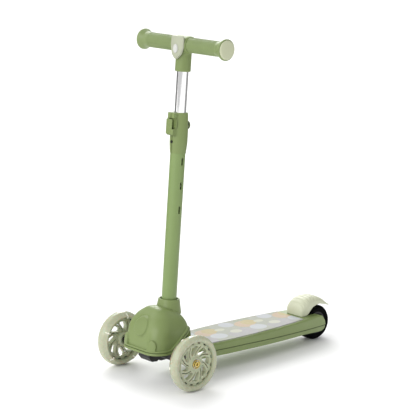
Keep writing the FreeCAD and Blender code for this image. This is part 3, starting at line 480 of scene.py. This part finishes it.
def wheel_core(side, place):
    """Wheel core: pierced plate, stepped hub, rim and a raised ring round the windows."""
    rim = rounded([(46.2, -11.6, 0.6), (TYRE_BORE, -12.4, 0.5), (TYRE_BORE, 12.4, 0.5),
                   (46.2, 11.6, 0.6)], 4)
    hub = rounded([(8.2, -11.5), (10.6, -11.5, 0.5), (15.2, -9, 1.5), (15.8, 2), (16.5, 4.2),
                   (16.5, 8.2, 1), (14.2, 9.2, 1), (12.4, 11.3, 0.8), (11.1, 11.3), (11.1, 4),
                   (8.2, 4)], 4)
    ring = rounded([(CORE_RING - 0.6, 7.6), (CORE_RING - 0.5, 8.9, 0.4),
                    (CORE_RING + 0.5, 8.9, 0.4), (CORE_RING + 0.6, 7.6)], 3)
    parts = [plate("web", wheel_plate(), -2.4, 8.4, 0.6), lathe("hub", hub, steps=96),
             lathe("rim", rim, steps=192), lathe("ring", ring, steps=160)]
    add(f"{side}_wheel_casting", merged("core", parts), f"{side}_wheel",
        MATERIALS["core_plastic"], [f"{side}_wheel_core"], place)


def light_boards(side, half, place):
    """Short boards round the bore, each stepped to sit flush in the tyre's rounded inner shoulder."""
    steps = (
        # from and to, out from the axle, and how far its face is sunk below the tyre's side
        (TYRE_BORE - 1.2, TYRE_BORE + 5.4, -0.05),
        (TYRE_BORE + 5.0, TYRE_BORE + 8.4, 4.2),
    )
    strips = []
    for start, end, height in steps:
        strip = rounded([(start, -1.6, 0.8), (end, -1.6, 0.8), (end, 1.6, 0.8), (start, 1.6, 0.8)], 3)
        boards = [turned_outline(strip, FIRST_LIGHT[side] + math.tau * i / LIGHTS)
                  for i in range(LIGHTS)]
        strips.append(plate("lights", boards, -half + height, -half + 8, 0.3))
    add(f"{side}_light_boards", merged("lights", strips), f"{side}_wheel",
        MATERIALS["light_capsule"], [f"{side}_light_modules"], place)


def front_wheel(side, sign):
    """One front wheel: tyre, core and light boards, its outer face turned away from the deck."""
    node = f"{side}_tyre"
    radius, half = extent(node).z / 2 / MM, extent(node).x / 2 / MM
    place = own_axes(middle(node), ACROSS * sign, UP)
    front_tyre(side, radius, half, place)
    wheel_core(side, place)
    light_boards(side, half, place)


def axle_heads():
    """Gold flanges with a hexagon-socket bolt head in each, outside the front wheels."""
    low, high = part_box("front_axle_bolts")
    reach = (high.x - low.x) / 2 / MM
    meshes = []
    for sign in (1, -1):
        place = own_axes(middle("front_axle_bolts"), ACROSS * sign, UP)
        flange = rounded([(3.8, reach - 5), (9.8, reach - 5, 0.3), (9.8, reach - 1.7, 0.5),
                          (8.6, reach - 1.1, 0.5), (7.6, reach - 1.7, 0.4), (7.0, reach - 4, 0.3),
                          (3.8, reach - 4)], 4)
        head = plate("head", [circle(5.9), circle(3.3, 6)], reach - 4.2, reach, 0.6)
        shank = [(0, 58), (3.95, 58), (3.95, reach - 3.9), (0, reach - 3.9)]
        meshes += [(lathe("flange", flange), place), (head, place),
                   (lathe("shank", shank, steps=48), place)]
    add("axle_heads", merged("axle_heads", meshes), "truck", MATERIALS["brass"],
        ["front_axle_bolts"])


# ---------------------------------------------------------------- rear wheel

def rear_wheel():
    """Solid tyre with three grooves round its tread."""
    radius, half = extent("rear_tyre").z / 2 / MM, extent("rear_tyre").x / 2 / MM
    place = own_axes(middle("rear_tyre"), ACROSS, UP)
    tread = [(25.1, -half + 2, 1), (radius - 5, -half, 3), (radius, -half + 7, 8),
             (radius, half - 7, 8), (radius - 5, half, 3), (25.1, half - 2, 1)]
    grooves = []
    for z in (-5, 0, 5):
        grooves += [(radius, z - 0.9, 0.2), (radius - 0.8, z - 0.5, 0.2),
                    (radius - 0.8, z + 0.5, 0.2), (radius, z + 0.9, 0.2)]
    outline = rounded(tread[:3] + grooves + tread[3:], 5)
    add("rear_tyre_cast", lathe("rear", outline, steps=160), "rear_wheel", MATERIALS["black_tyre"],
        ["rear_tyre"], place)


# ---------------------------------------------------------------- dome cover

DOME_SECTIONS = (
    # height, half width, front, rear, corner radius
    (62, 58.6, -281, -170, 29), (95, 58.6, -277.5, -170, 33), (120, 55.6, -271.5, -173, 34),
    (138, 46.6, -260, -184, 30), (149, 33, -247, -199, 21), (155, 20, -239, -215, 11),
    (157, 6, -232, -224, 3.9),
)
DOME_LIP = (
    # along the scooter, height of the lower edge
    (-290, 67.6), (-262, 67.3), (-248, 67.0), (-240, 68), (-229.7, 74.5), (-220.7, 81),
    (-211.9, 88), (-202.3, 95.5), (-194, 102), (-187, 106), (-181.5, 105), (-177.5, 95),
    (-174, 79), (-171.5, 67.6), (-165, 67.2),
)
LIP_PROFILE = (
    # height above the lip, how far it stands proud
    (12.6, 0), (11.2, -0.5), (10.7, 0.3), (10.5, 2.6), (9.8, 3.7), (7.8, 3.9), (6.7, 3.2),
    (6.3, 1.2), (5.5, 1.2), (5.1, 3.0), (4.3, 3.8), (1.2, 3.8), (0.4, 3.3), (0, 2.2),
)
DOME_WALL = 3.0
PLAN_SHARES = (
    # of the way round, for each run in turn: half the front, corner, side, corner, rear, corner,
    # side, corner and half the front; the same at every height, so that each column of the grid
    # keeps to one feature
    0.10, 0.14, 0.12, 0.09, 0.10, 0.09, 0.12, 0.14, 0.10,
)
# the front's relief ends here along the scooter
RELIEF_END = -225
# arched panels: how far to each side, half width, where the arch springs and how high it rises
PANEL_SIDE, PANEL_HALF = 40, 9.2
PANEL_SPRING, PANEL_RISE = 86, 14
PANEL_PROUD = 4.0
# the round seen as an oval on the sloping front: its size and height, and the moat round it
OVAL_RADIUS, OVAL_HEIGHT = 20, 121
OVAL_PROUD, OVAL_MOAT = 2.2, 0.7


def smooth_between(table, x):
    """Cubic interpolation of a table's rows by their first column."""
    last = len(table) - 1
    if x <= table[0][0]:
        return table[0][1:]
    if x >= table[last][0]:
        return table[last][1:]
    i = next(k for k in range(last) if table[k + 1][0] >= x)
    t = (x - table[i][0]) / (table[i + 1][0] - table[i][0])

    def slope(k, column):
        a, b = max(k - 1, 0), min(k + 1, last)
        return (table[b][column] - table[a][column]) / (table[b][0] - table[a][0])

    span = table[i + 1][0] - table[i][0]
    result = []
    for column in range(1, len(table[0])):
        p, q = table[i][column], table[i + 1][column]
        m, n = slope(i, column) * span, slope(i + 1, column) * span
        result.append((2 * t**3 - 3 * t**2 + 1) * p + (t**3 - 2 * t**2 + t) * m
                      + (3 * t**2 - 2 * t**3) * q + (t**3 - t**2) * n)
    return result


def plan_point(height, share, inset=0.0):
    """Point and outward way on the dome's plan at a height, a share of the way from the front."""
    half, front, rear, corner = smooth_between(DOME_SECTIONS, height)
    half, front, rear = half - inset, front + inset, rear - inset
    corner = max(min(corner - inset, half - 0.1, (rear - front) / 2 - 0.1), 0.5)
    straight_x, straight_y = 2 * (half - corner), rear - front - 2 * corner
    corners = ((half - corner, front + corner, -90), (half - corner, rear - corner, 0),
               (-half + corner, rear - corner, 90), (-half + corner, front + corner, 180))
    share = share % 1.0
    i = 0
    while i < 8 and share > PLAN_SHARES[i]:
        share -= PLAN_SHARES[i]
        i += 1
    t = min(share / PLAN_SHARES[i], 1.0)
    if i in (1, 3, 5, 7):
        cx, cy, start = corners[(i - 1) // 2]
        angle = math.radians(start + 90 * t)
        way = Vector((math.cos(angle), math.sin(angle)))
        return Vector((cx, cy)) + way * corner, way
    if i == 0:
        return Vector((straight_x / 2 * t, front)), Vector((0, -1))
    if i == 2:
        return Vector((half, front + corner + straight_y * t)), Vector((1, 0))
    if i == 4:
        return Vector((half - corner - straight_x * t, rear)), Vector((0, 1))
    if i == 6:
        return Vector((-half, rear - corner - straight_y * t)), Vector((-1, 0))
    return Vector((-straight_x / 2 * (1 - t), front)), Vector((0, -1))


def soft_step(value, low, high):
    """0 below low, 1 above high, and a smooth rise between."""
    t = min(max((value - low) / (high - low), 0), 1)
    return t * t * (3 - 2 * t)


def panel(x, y, z):
    """Share of the raised arched panel at each front corner."""
    if y > RELIEF_END:
        return 0
    across, up = (abs(x) - PANEL_SIDE) / PANEL_HALF, (z - PANEL_SPRING) / PANEL_RISE
    reach = math.hypot(across, up) if up > 0 else abs(across)
    return 1 - soft_step(reach, 0.88, 1.0)


def dome_relief(x, y, z):
    """Height of the front's raised oval, in its shallow moat, and of the panels at its corners."""
    if y > RELIEF_END:
        return 0
    oval = math.hypot(x / OVAL_RADIUS, (z - OVAL_HEIGHT) / OVAL_RADIUS)
    raised = OVAL_PROUD * (1 - soft_step(oval, 0.90, 1.0)) + PANEL_PROUD * panel(x, y, z)
    moat = OVAL_MOAT * (soft_step(oval, 1.0, 1.03) - soft_step(oval, 1.08, 1.14))
    return raised - moat


def lip_heights(columns):
    """Height of the dome's lower edge at each column of its grid."""
    edges = []
    for i in range(columns):
        lip = 70.0
        for _ in range(6):
            point, _way = plan_point(lip, i / columns)
            lip = smooth_between(DOME_LIP, point.y)[0]
        edges.append(lip)
    return edges


def dome():
    """Cover as a grid round its plan: relief in front, a double bead along the rising lip."""
    columns, rows, inner_rows = 448, 96, 12
    top = DOME_SECTIONS[-1][0]
    skirt = LIP_PROFILE[0][0]
    edges = lip_heights(columns)
    rings = []
    for row in range(rows + 1):
        ring = []
        fall = (row / rows) ** 1.6
        for i, lip in enumerate(edges):
            z = top + (lip + skirt - top) * fall
            point, way = plan_point(z, i / columns)
            stand = dome_relief(point.x, point.y, z)
            ring.append((*(point + way * stand), z))
        rings.append(ring)
    for above, proud in LIP_PROFILE[1:]:
        ring = []
        for i, lip in enumerate(edges):
            point, way = plan_point(lip + above, i / columns)
            stand = proud
            if above > 10:
                stand = max(proud, PANEL_PROUD * panel(point.x, point.y, lip + above))
            ring.append((*(point + way * stand), lip + above))
        rings.append(ring)
    for row in range(inner_rows + 1):
        ring = []
        for i, lip in enumerate(edges):
            z = lip + (top - 3 * DOME_WALL - lip) * row / inner_rows
            point, _way = plan_point(z, i / columns, DOME_WALL)
            ring.append((*point, z))
        rings.append(ring)
    add("dome_moulding", loft("dome", rings), "deck", MATERIALS["sage_plastic"],
        ["dome_cover"], Matrix(), sharp=50)


# ---------------------------------------------------------------- stem and clamp

CONE_FOOT, CONE_HEIGHT, CONE_SKIRT = 38, 31, 17
STEM_BORE, SOCKET_BORE = 16.1, 22.2
# heights of the lever's ends and of the finger gap's top, up the stem
LEVER_LOW, LEVER_GAP, LEVER_HIGH = 420, 431.5, 452
LEVER_FACE = 27.9
LEVER_PIN = (-9.5, -22)


def collar_cone():
    """Flared collar at the stem's foot: open round the stem at its rim, with a skirt below."""
    foot = CONE_FOOT - BAR_LEVEL
    rim = foot + CONE_HEIGHT
    outline = rounded([
        (SOCKET_BORE, foot - CONE_SKIRT), (25.6, foot - CONE_SKIRT, 0.8), (25.6, foot, 0.6),
        (28, foot, 0.8), (27.4, foot + 3, 3), (23.0, rim - 2, 2), (22.6, rim, 1.0),
        (19.4, rim, 0.8), (18.6, rim - 7), (STEM_BORE, rim - 7), (STEM_BORE, foot + 10),
        (SOCKET_BORE, foot + 10),
    ], 5)
    add("stem_cone_moulding", lathe("cone", outline), "deck", MATERIALS["sage_plastic"],
        ["stem_collar_cone"], STEM)


def clamp_lever():
    """Quick lever: a paddle cut away beside the finger gap, with its knuckle round the pin."""
    low, gap, high = (height - BAR_LEVEL for height in (LEVER_LOW, LEVER_GAP, LEVER_HIGH))
    paddle = rounded([(-11, low, 1.5), (11.5, low, 1.5), (11.5, gap, 1), (6.6, gap, 1),
                      (6.6, high, 1.5), (-11, high, 1.5)], 4)
    knuckle = [circle(2.98, 48, *LEVER_PIN), circle(1.55, 32, *LEVER_PIN)]
    root = [(-11, -22), (-6.6, -22), (-6.6, -25.6), (-11, -25.6)]
    forward = own_axes(Vector(), AHEAD, UP)
    parts = [(plate("paddle", [paddle], LEVER_FACE - 2.6, LEVER_FACE, 0.9), forward),
             plate("root", [root], low + 2.3, high - 2.3, 0.1),
             plate("knuckle", knuckle, low + 2.3, high - 2.3, 0.3)]
    add("clamp_lever_moulding", merged("lever", parts), "clamp_lever", MATERIALS["sage_plastic"],
        ["clamp_lever"], STEM)


# ---------------------------------------------------------------- handlebar

GRIP_START, GRIP_BORE, GRIP_RADIUS = 22.2, 11.2, 15.4
RIB_RADIUS, RIB_STEP, RIBS_END = 16.0, 3.0, 104
NECK_FOOT = 550.5
# shield: its back ahead of the bar's centre, half width, how far its sides bow back, and how
# far its oval sits below the bar
BADGE_BACK, BADGE_HALF, BADGE_BOW = 17.7, 19, 4.2
OVAL_DROP = 8.5


def grip_outline(end):
    """Half section of a soft grip: inner flange, ribs all along, flared outer flange."""
    outline = [(GRIP_BORE, GRIP_START), (15.0, GRIP_START, 0.8), (16.2, GRIP_START + 0.8, 0.6),
               (16.2, GRIP_START + 3.4, 0.6), (GRIP_RADIUS, GRIP_START + 4.2, 0.3)]
    z = GRIP_START + 6
    while z < RIBS_END:
        outline += [(GRIP_RADIUS, z, 0.2), (RIB_RADIUS, z + 0.5, 0.3),
                    (RIB_RADIUS, z + 1.5, 0.3), (GRIP_RADIUS, z + 2.0, 0.2)]
        z += RIB_STEP
    outline += [(15.7, 107, 3), (16.6, 116, 5), (20.8, 123.4, 2), (22, 125.4, 1),
                (22, end - 0.4, 0.8), (19.9, end, 0.2), (GRIP_BORE, end)]
    return rounded(outline, 3)


def grips():
    """Ribbed soft grips with a flange, and their domed end caps."""
    bar_half = extent("handlebar_tube").x / 2 / MM
    for side, sign in (("left", 1), ("right", -1)):
        place = own_axes(BAR_CENTRE, ACROSS * sign, UP)
        add(f"{side}_grip_moulding", lathe("grip", grip_outline(bar_half)), "handlebar",
            MATERIALS["grip_rubber"], [f"{side}_grip"], place)
        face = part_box(f"{side}_grip_cap")[1 if sign > 0 else 0].x * sign / MM
        cap = rounded([(0, bar_half - 1), (19.7, bar_half - 1), (19.7, face - 2.2, 1.6),
                       (17.4, face - 0.9, 1.5), (10, face - 0.25, 6), (0, face)], 6)
        add(f"{side}_cap_moulding", lathe("cap", cap), "handlebar", MATERIALS["cap_plastic"],
            [f"{side}_grip_cap"], place)


def blended(name, parts, cell, passes):
    """Closed meshes melted into one skin with soft fillets where they meet."""
    holder = bpy.data.objects.new(name, merged(name, parts))
    bpy.context.scene.collection.objects.link(holder)
    remesh = holder.modifiers.new("skin", "REMESH")
    remesh.mode = "VOXEL"
    remesh.voxel_size = cell * MM
    relax = holder.modifiers.new("relax", "SMOOTH")
    relax.iterations = passes
    relax.factor = 0.5
    graph = bpy.context.evaluated_depsgraph_get()
    mesh = bpy.data.meshes.new_from_object(holder.evaluated_get(graph))
    bpy.data.objects.remove(holder)
    return mesh


def housing():
    """Bar's clamp shell: a barrel across, blended into the neck below it."""
    foot = NECK_FOOT - BAR_LEVEL
    barrel = rounded([(0, -22), (17, -22, 1.4), (18.4, -17, 6), (18.4, 17, 6), (17, 22, 1.4),
                      (0, 22)], 5)
    neck = rounded([(0, foot + 1), (16.5, foot + 1), (16.5, -8), (13, 6), (0, 6)], 3)
    across = own_axes(Vector(), ACROSS, UP)
    skin = blended("housing", [(lathe("barrel", barrel), across), lathe("neck", neck)], 0.75, 9)
    ring = rounded([(12.6, foot), (15.6, foot, 0.5), (16.5, foot + 1.0, 0.6), (16.5, foot + 3.2, 0.5),
                    (15.8, foot + 3.6), (15.8, foot + 5), (12.6, foot + 5)], 4)
    add("housing_moulding", merged("housing", [skin, lathe("ring", ring)]), "handlebar",
        MATERIALS["sage_plastic"], ["t_housing"], STEM, sharp=50)


def shield_outline(inset=0.0):
    """Blank shield, point down, about the bar's level, drawn in by inset."""
    half = BADGE_HALF - inset
    corners = [(0, -31.5 + inset * 1.5, 5), (13.5 - inset, -20, 14), (half, -6, 8),
               (half, 18 - inset, 3.5), (-half, 18 - inset, 3.5), (-half, -6, 8),
               (-13.5 + inset, -20, 14)]
    return rounded(corners, 10)


def badge():
    """Bowed shield with a rim, and a plain glossy oval in its middle."""
    face = STEM @ own_axes(Vector((0, -BADGE_BACK * MM, 0)), AHEAD, UP)
    rings = []
    for inset, height in ((0, 0), (0, 5.2), (0.35, 6.2), (1.1, 6.8), (2.0, 6.6), (2.6, 6.1),
                          (3.4, 6.0)):
        rings.append([(x, y, height) for x, y in shield_outline(inset)])
    shield = filled_and_bowed(loft("shield", rings), BADGE_BOW)
    add("shield_moulding", shield, "handlebar", MATERIALS["badge_plastic"],
        ["badge_shield"], face)
    angles = [math.tau * i / 72 for i in range(72)]
    oval = [(6.6 * math.cos(angle), 9.4 * math.sin(angle) - OVAL_DROP) for angle in angles]
    rings = []
    for shrink, height in ((1.0, 3), (1.0, 6.8), (0.96, 7.5), (0.86, 8.0), (0.6, 8.35), (0.3, 8.5)):
        rings.append([(x * shrink, (y + OVAL_DROP) * shrink - OVAL_DROP, height) for x, y in oval])
    add("badge_oval_cap", loft("oval", rings), "handlebar", MATERIALS["badge_face"],
        ["badge_oval"], face)


def filled_and_bowed(mesh, bow):
    """Give a capped outline enough points across its face to bend smoothly, then bend it back."""
    grid = bmesh.new()
    grid.from_mesh(mesh)
    big = [f for f in grid.faces if len(f.verts) > 8]
    bmesh.ops.triangulate(grid, faces=big)
    for x in range(-16, 17, 4):
        bmesh.ops.bisect_plane(grid, geom=grid.verts[:] + grid.edges[:] + grid.faces[:],
                               plane_co=(x * MM, 0, 0), plane_no=(1, 0, 0))
    for vertex in grid.verts:
        share = vertex.co.x / (BADGE_HALF * MM)
        lift = min(max(vertex.co.z / (6 * MM), 0), 1)
        vertex.co.z -= bow * MM * share * share * lift
    grid.to_mesh(mesh)
    grid.free()
    return mesh


# ---------------------------------------------------------------- deck

def grip_mat():
    """Printed grip sheet: a thin crowned-edge sheet with a field of fine raised dots."""
    low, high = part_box("deck_grip_mat")
    sheet = NODES["deck_grip_mat"].data
    middle_y = 0.5 * (low.y + high.y) / MM
    rim = sorted({(round(v.co.x / MM, 2), round(v.co.y / MM, 2)) for v in sheet.vertices},
                 key=lambda corner: math.atan2(corner[0], corner[1] - middle_y))
    base, top = low.z / MM, high.z / MM
    rings = []
    for shrink, z in ((0, base), (0, top - 0.5), (0.15, top - 0.15), (0.5, top), (1.5, top)):
        ring = []
        for x, y in rim:
            way = Vector((x, (y - middle_y) * 0.35))
            way.normalize()
            ring.append((x - way.x * shrink, y - way.y * shrink, z))
        rings.append(ring)
    add("grip_sheet", loft("mat", rings), "deck", mat_material(), ["deck_grip_mat"])


# length after which the drift of ovals repeats
MAT_UNIT = 118.0
# share of its brightness that each printed colour keeps
MAT_TONE = 0.51
# raised dots to a metre
DOTS = 330
MAT_OVALS = (
    # across, along, half across, half along, turn in degrees, colour
    (30, -108, 25, 24, 0, linear(205, 203, 204)),
    (34, -24, 20, 22, 0, linear(202, 202, 200)),
    (-40, -62, 16, 24, 10, linear(190, 198, 170)),
    (-14, -76, 23, 27, 15, linear(232, 205, 172)),
    (-19, -60, 18, 20, 10, linear(226, 209, 150)),
    (21, -67, 18, 21, 0, linear(226, 231, 234)),
    (-33, 2, 18, 18, 0, linear(222, 226, 231)),
    (-13, -35, 9, 13, 0, linear(232, 234, 208)),
    (16, -12, 12, 15, 0, linear(234, 236, 214)),
    (-2, 4, 9, 12, 0, linear(206, 208, 190)),
)


def mat_material():
    """Grey-green sheet printed with a repeating drift of pastel ovals, with a fine dot emboss."""
    ground = shaded(linear(201, 205, 188), MAT_TONE)
    paint = Paint("printed_mat", Base_Color=ground, Specular_IOR_Level=0.3)
    split = paint.node("ShaderNodeSeparateXYZ")
    paint.link(paint.coordinates.outputs["Object"], split.inputs["Vector"])
    x, y = split.outputs["X"], split.outputs["Y"]
    colour = paint.mottled(ground, 0.03, 30, 3)
    for across, along, wide, tall, turn, tint in MAT_OVALS:
        cosine, sine = math.cos(math.radians(turn)), math.sin(math.radians(turn))
        dx = paint.math("SUBTRACT", x, across * MM)
        dy = paint.math("WRAP", paint.math("SUBTRACT", y, along * MM), MAT_UNIT / 2 * MM,
                        -MAT_UNIT / 2 * MM)
        u = paint.math("ADD", paint.math("MULTIPLY", dx, cosine / (wide * MM)),
                       paint.math("MULTIPLY", dy, sine / (wide * MM)))
        v = paint.math("SUBTRACT", paint.math("MULTIPLY", dy, cosine / (tall * MM)),
                       paint.math("MULTIPLY", dx, sine / (tall * MM)))
        reach = paint.math("ADD", paint.math("MULTIPLY", u, u), paint.math("MULTIPLY", v, v))
        inside = paint.ramp(reach, (0.92, 1.0), (1.0, 0.0))
        colour = paint.blend(inside, colour, shaded(tint, MAT_TONE))
    paint.show(colour)
    dots = paint.node("ShaderNodeTexVoronoi")
    dots.inputs["Scale"].default_value = DOTS
    dots.inputs["Randomness"].default_value = 0.0
    paint.link(paint.coordinates.outputs["Object"], dots.inputs["Vector"])
    raised = paint.ramp(dots.outputs["Distance"], (0.15, 1.0), (0.35, 0.0))
    paint.bump(raised, 0.4, 0.00015)
    paint.roughen(0.48, 0.58, 120)
    return paint.material


# ---------------------------------------------------------------- brake

FENDER_STATIONS = (
    # along, lower edge, shoulder, crown, half width
    (182.3, 65.6, 74, 85, 23), (186, 65.6, 77.5, 90, 25), (193, 65.8, 83, 96.8, 26),
    (204, 70.0, 88, 103, 26.5), (211, 77.0, 90, 104.7, 26.3), (219, 83.0, 91, 105, 26),
    (237, 87.3, 91.4, 103.8, 25.5), (255, 83.5, 87, 96.5, 24), (264, 81, 83, 89.7, 22.3),
    (276, 76.5, 77.5, 80.5, 20),
)
FENDER_WALL = 2.8
# length of the rounded front edge, and how far it draws in
FENDER_NOSE, NOSE_DRAW = 4.0, 3.2
GROOVES_FROM, GROOVES_TO = 188, 262
GROOVE_STEP, GROOVE_DEPTH = 9.25, 1.7
# the one round dimple on the hood's shoulder
DIMPLE_X, DIMPLE_Y, DIMPLE_RADIUS, DIMPLE_DEPTH = 24, 195, 3, 0.8
FENDER_FRONT_WALL, FENDER_END_WALL = 1.4, 1.0
EARS = (-13, 9)
EAR_WIDTH, EAR_HOLE = 4, 2.5


def fender_ring(y, inset, steps):
    """Half hoop of the hood across the scooter at y, drawn in by inset."""
    low, shoulder, crown, half = smooth_between(FENDER_STATIONS, y)
    nose = max(0.0, 1 - (y - FENDER_STATIONS[0][0]) / FENDER_NOSE)
    draw = NOSE_DRAW * (1 - math.sqrt(1 - nose * nose))
    half, crown = half - inset - draw, crown - inset - draw
    shoulder = min(shoulder, crown - 1.5)
    ring = [(-half, y, low)]
    for k in range(steps + 1):
        angle = math.pi * (1 - k / steps)
        across = half * math.copysign(abs(math.cos(angle)) ** 0.75, math.cos(angle))
        height = shoulder + (crown - shoulder) * math.sin(angle) ** 0.9
        if not inset:
            height -= fender_groove(y) * soft_step(math.sin(angle), 0.3, 0.6)
            dimple = math.hypot(across - DIMPLE_X, y - DIMPLE_Y) / DIMPLE_RADIUS
            height -= DIMPLE_DEPTH * (1 - soft_step(dimple, 0.6, 1.0))
        ring.append((across, y, height))
    return [*ring, (half, y, low)]


def fender_groove(y):
    """Depth of the grooves pressed across the hood."""
    if not GROOVES_FROM < y < GROOVES_TO:
        return 0.0
    share = (y - GROOVES_FROM) % GROOVE_STEP / GROOVE_STEP
    return GROOVE_DEPTH * (soft_step(share, 0.0, 0.12) - soft_step(share, 0.22, 0.34))


def fender_hood():
    """Thin hood, closed at the front and open below: two skins, joined at the rim."""
    stations, steps = 150, 64
    start, end = FENDER_STATIONS[0][0], FENDER_STATIONS[-1][0]
    inner_start, inner_end = start + FENDER_FRONT_WALL, end - FENDER_END_WALL
    outer = [fender_ring(start + (end - start) * i / stations, 0.0, steps)
             for i in range(stations + 1)]
    inner = [fender_ring(inner_start + (inner_end - inner_start) * i / stations, FENDER_WALL, steps)
             for i in range(stations + 1)]
    count = steps + 3
    last = count - 1
    verts = [point for ring in outer + inner for point in ring]
    faces = []

    def at(skin, i, k):
        return (skin * (stations + 1) + i) * count + k

    for i in range(stations):
        for k in range(last):
            faces.append((at(0, i, k), at(0, i, k + 1), at(0, i + 1, k + 1), at(0, i + 1, k)))
            faces.append((at(1, i, k), at(1, i + 1, k), at(1, i + 1, k + 1), at(1, i, k + 1)))
        for k in (0, last):
            faces.append((at(0, i, k), at(0, i + 1, k), at(1, i + 1, k), at(1, i, k)))
    for skin in (0, 1):
        faces.append(tuple(at(skin, 0, k) for k in range(count)))
    faces.append((at(0, 0, 0), at(0, 0, last), at(1, 0, last), at(1, 0, 0)))
    for k in range(last):
        faces.append((at(0, stations, k), at(1, stations, k), at(1, stations, k + 1),
                      at(0, stations, k + 1)))
    return joined("fender", verts, faces)


def fender_ears():
    """The two lugs that carry the hood on its hinge pin."""
    pivot = Vector(JOINTS["brake_press"]["pos_m"])
    hinge = Matrix.Translation(pivot) @ own_axes(Vector(), ACROSS, -AHEAD)
    outline = rounded([(-4.2, -4, 2), (-4.2, 5, 2), (22, 8, 1), (16, -1, 1)])
    return [(plate("ear", [outline, circle(EAR_HOLE, 24)], x, x + EAR_WIDTH, 0.3), hinge)
            for x in EARS]


def fender():
    """Ribbed foot brake over the rear wheel."""
    add("fender_moulding", merged("fender", [fender_hood(), *fender_ears()]), "brake",
        MATERIALS["cream_plastic"], ["brake_fender"])


# ---------------------------------------------------------------- camera, light and floor

# where the camera stands, in metres, and which way its right and its top point
CAMERA_AT = (2.5666, -2.4161, 1.0860)
CAMERA_RIGHT = Vector((0.67050, 0.74175, 0.01536))
CAMERA_UP = Vector((-0.16509, 0.12898, 0.97781))
CAMERA_LENS, CAMERA_SENSOR = 142.0, 36
SKY = 0.66
SUNS = (
    # name, energy, how wide the light is in degrees, the way it shines
    ("back", 2.1, 45, (0.72, -0.42, -0.60)),
    ("side", 0.9, 60, (0.55, 0.60, -0.55)),
    ("front", 1.15, 40, (-0.22, 0.90, -0.42)),
)
FLAGS = (
    # name, bearing in degrees, half width in metres
    ("flag_left", -166, 0.80),
    ("flag_right", 76, 1.15),
)
FLAG_AWAY, FLAG_LOW, FLAG_HIGH = 1.1, 0.02, 1.3
FLOOR_HALF = 12.0


def grey(value):
    return (value, value, value, 1)


def set_camera():
    camera = bpy.data.objects.new("camera", bpy.data.cameras.new("camera"))
    bpy.context.scene.collection.objects.link(camera)
    camera.data.sensor_width = CAMERA_SENSOR
    camera.data.lens = CAMERA_LENS
    camera.data.clip_end = 50
    turn = Matrix((CAMERA_RIGHT, CAMERA_UP, CAMERA_RIGHT.cross(CAMERA_UP))).transposed()
    camera.matrix_world = Matrix.Translation(CAMERA_AT) @ turn.to_4x4()
    bpy.context.scene.camera = camera


def light_sky():
    world = bpy.data.worlds.new("studio")
    world.use_nodes = True
    background = world.node_tree.nodes["Background"]
    background.inputs["Color"].default_value = grey(1)
    background.inputs["Strength"].default_value = SKY
    bpy.context.scene.world = world


def hang_flags():
    """Dark flags to each side, seen in bright metal only: they give the chrome its dark lines."""
    paint = Paint("flag", Base_Color=grey(0.22), Roughness=1.0)
    paint.show(paint.ramp(paint.noise(3), (0.3, grey(0.20)), (0.7, grey(0.24))))
    for name, bearing, half in FLAGS:
        angle = math.radians(bearing)
        way = Vector((math.cos(angle), math.sin(angle), 0))
        side = way.cross(UP)
        mesh = bpy.data.meshes.new(name)
        mesh.from_pydata([way * FLAG_AWAY + side * half * s + UP * z for s, z in
                          ((-1, FLAG_LOW), (1, FLAG_LOW), (1, FLAG_HIGH), (-1, FLAG_HIGH))],
                         [], [(0, 1, 2, 3)])
        mesh.materials.append(paint.material)
        flag = bpy.data.objects.new(name, mesh)
        bpy.context.scene.collection.objects.link(flag)
        flag.visible_camera = flag.visible_diffuse = flag.visible_shadow = False
        flag.visible_transmission = False


def hang_suns():
    for name, energy, spread, way in SUNS:
        sun = bpy.data.objects.new(name, bpy.data.lights.new(name, "SUN"))
        sun.data.energy = energy
        sun.data.angle = math.radians(spread)
        sun.rotation_euler = Vector(way).to_track_quat("-Z", "Y").to_euler()
        bpy.context.scene.collection.objects.link(sun)


def lay_floor():
    mesh = bpy.data.meshes.new("floor")
    corners = ((-1, -1), (1, -1), (1, 1), (-1, 1))
    mesh.from_pydata([(x * FLOOR_HALF, y * FLOOR_HALF, 0) for x, y in corners], [],
                     [(0, 1, 2, 3)])
    ground = bpy.data.objects.new("floor", mesh)
    paint = Paint("floor", Base_Color=grey(0.93), Roughness=0.9)
    paint.show(paint.ramp(paint.noise(2, 2), (0.3, grey(0.92)), (0.7, grey(0.94))))
    mesh.materials.append(paint.material)
    bpy.context.scene.collection.objects.link(ground)


# ---------------------------------------------------------------- put together

for node, slot_name in CAD_MATERIALS.items():
    data = NODES[node].data
    data.materials.clear()
    data.materials.append(MATERIALS.get(slot_name, MATERIALS["sage_plastic"]))

for side, sign in (("left", 1), ("right", -1)):
    front_wheel(side, sign)
axle_heads()
rear_wheel()
dome()
collar_cone()
clamp_lever()
housing()
grips()
badge()
grip_mat()
fender()

set_camera()
light_sky()
hang_flags()
hang_suns()
lay_floor()
bpy.context.scene.view_settings.view_transform = "Standard"
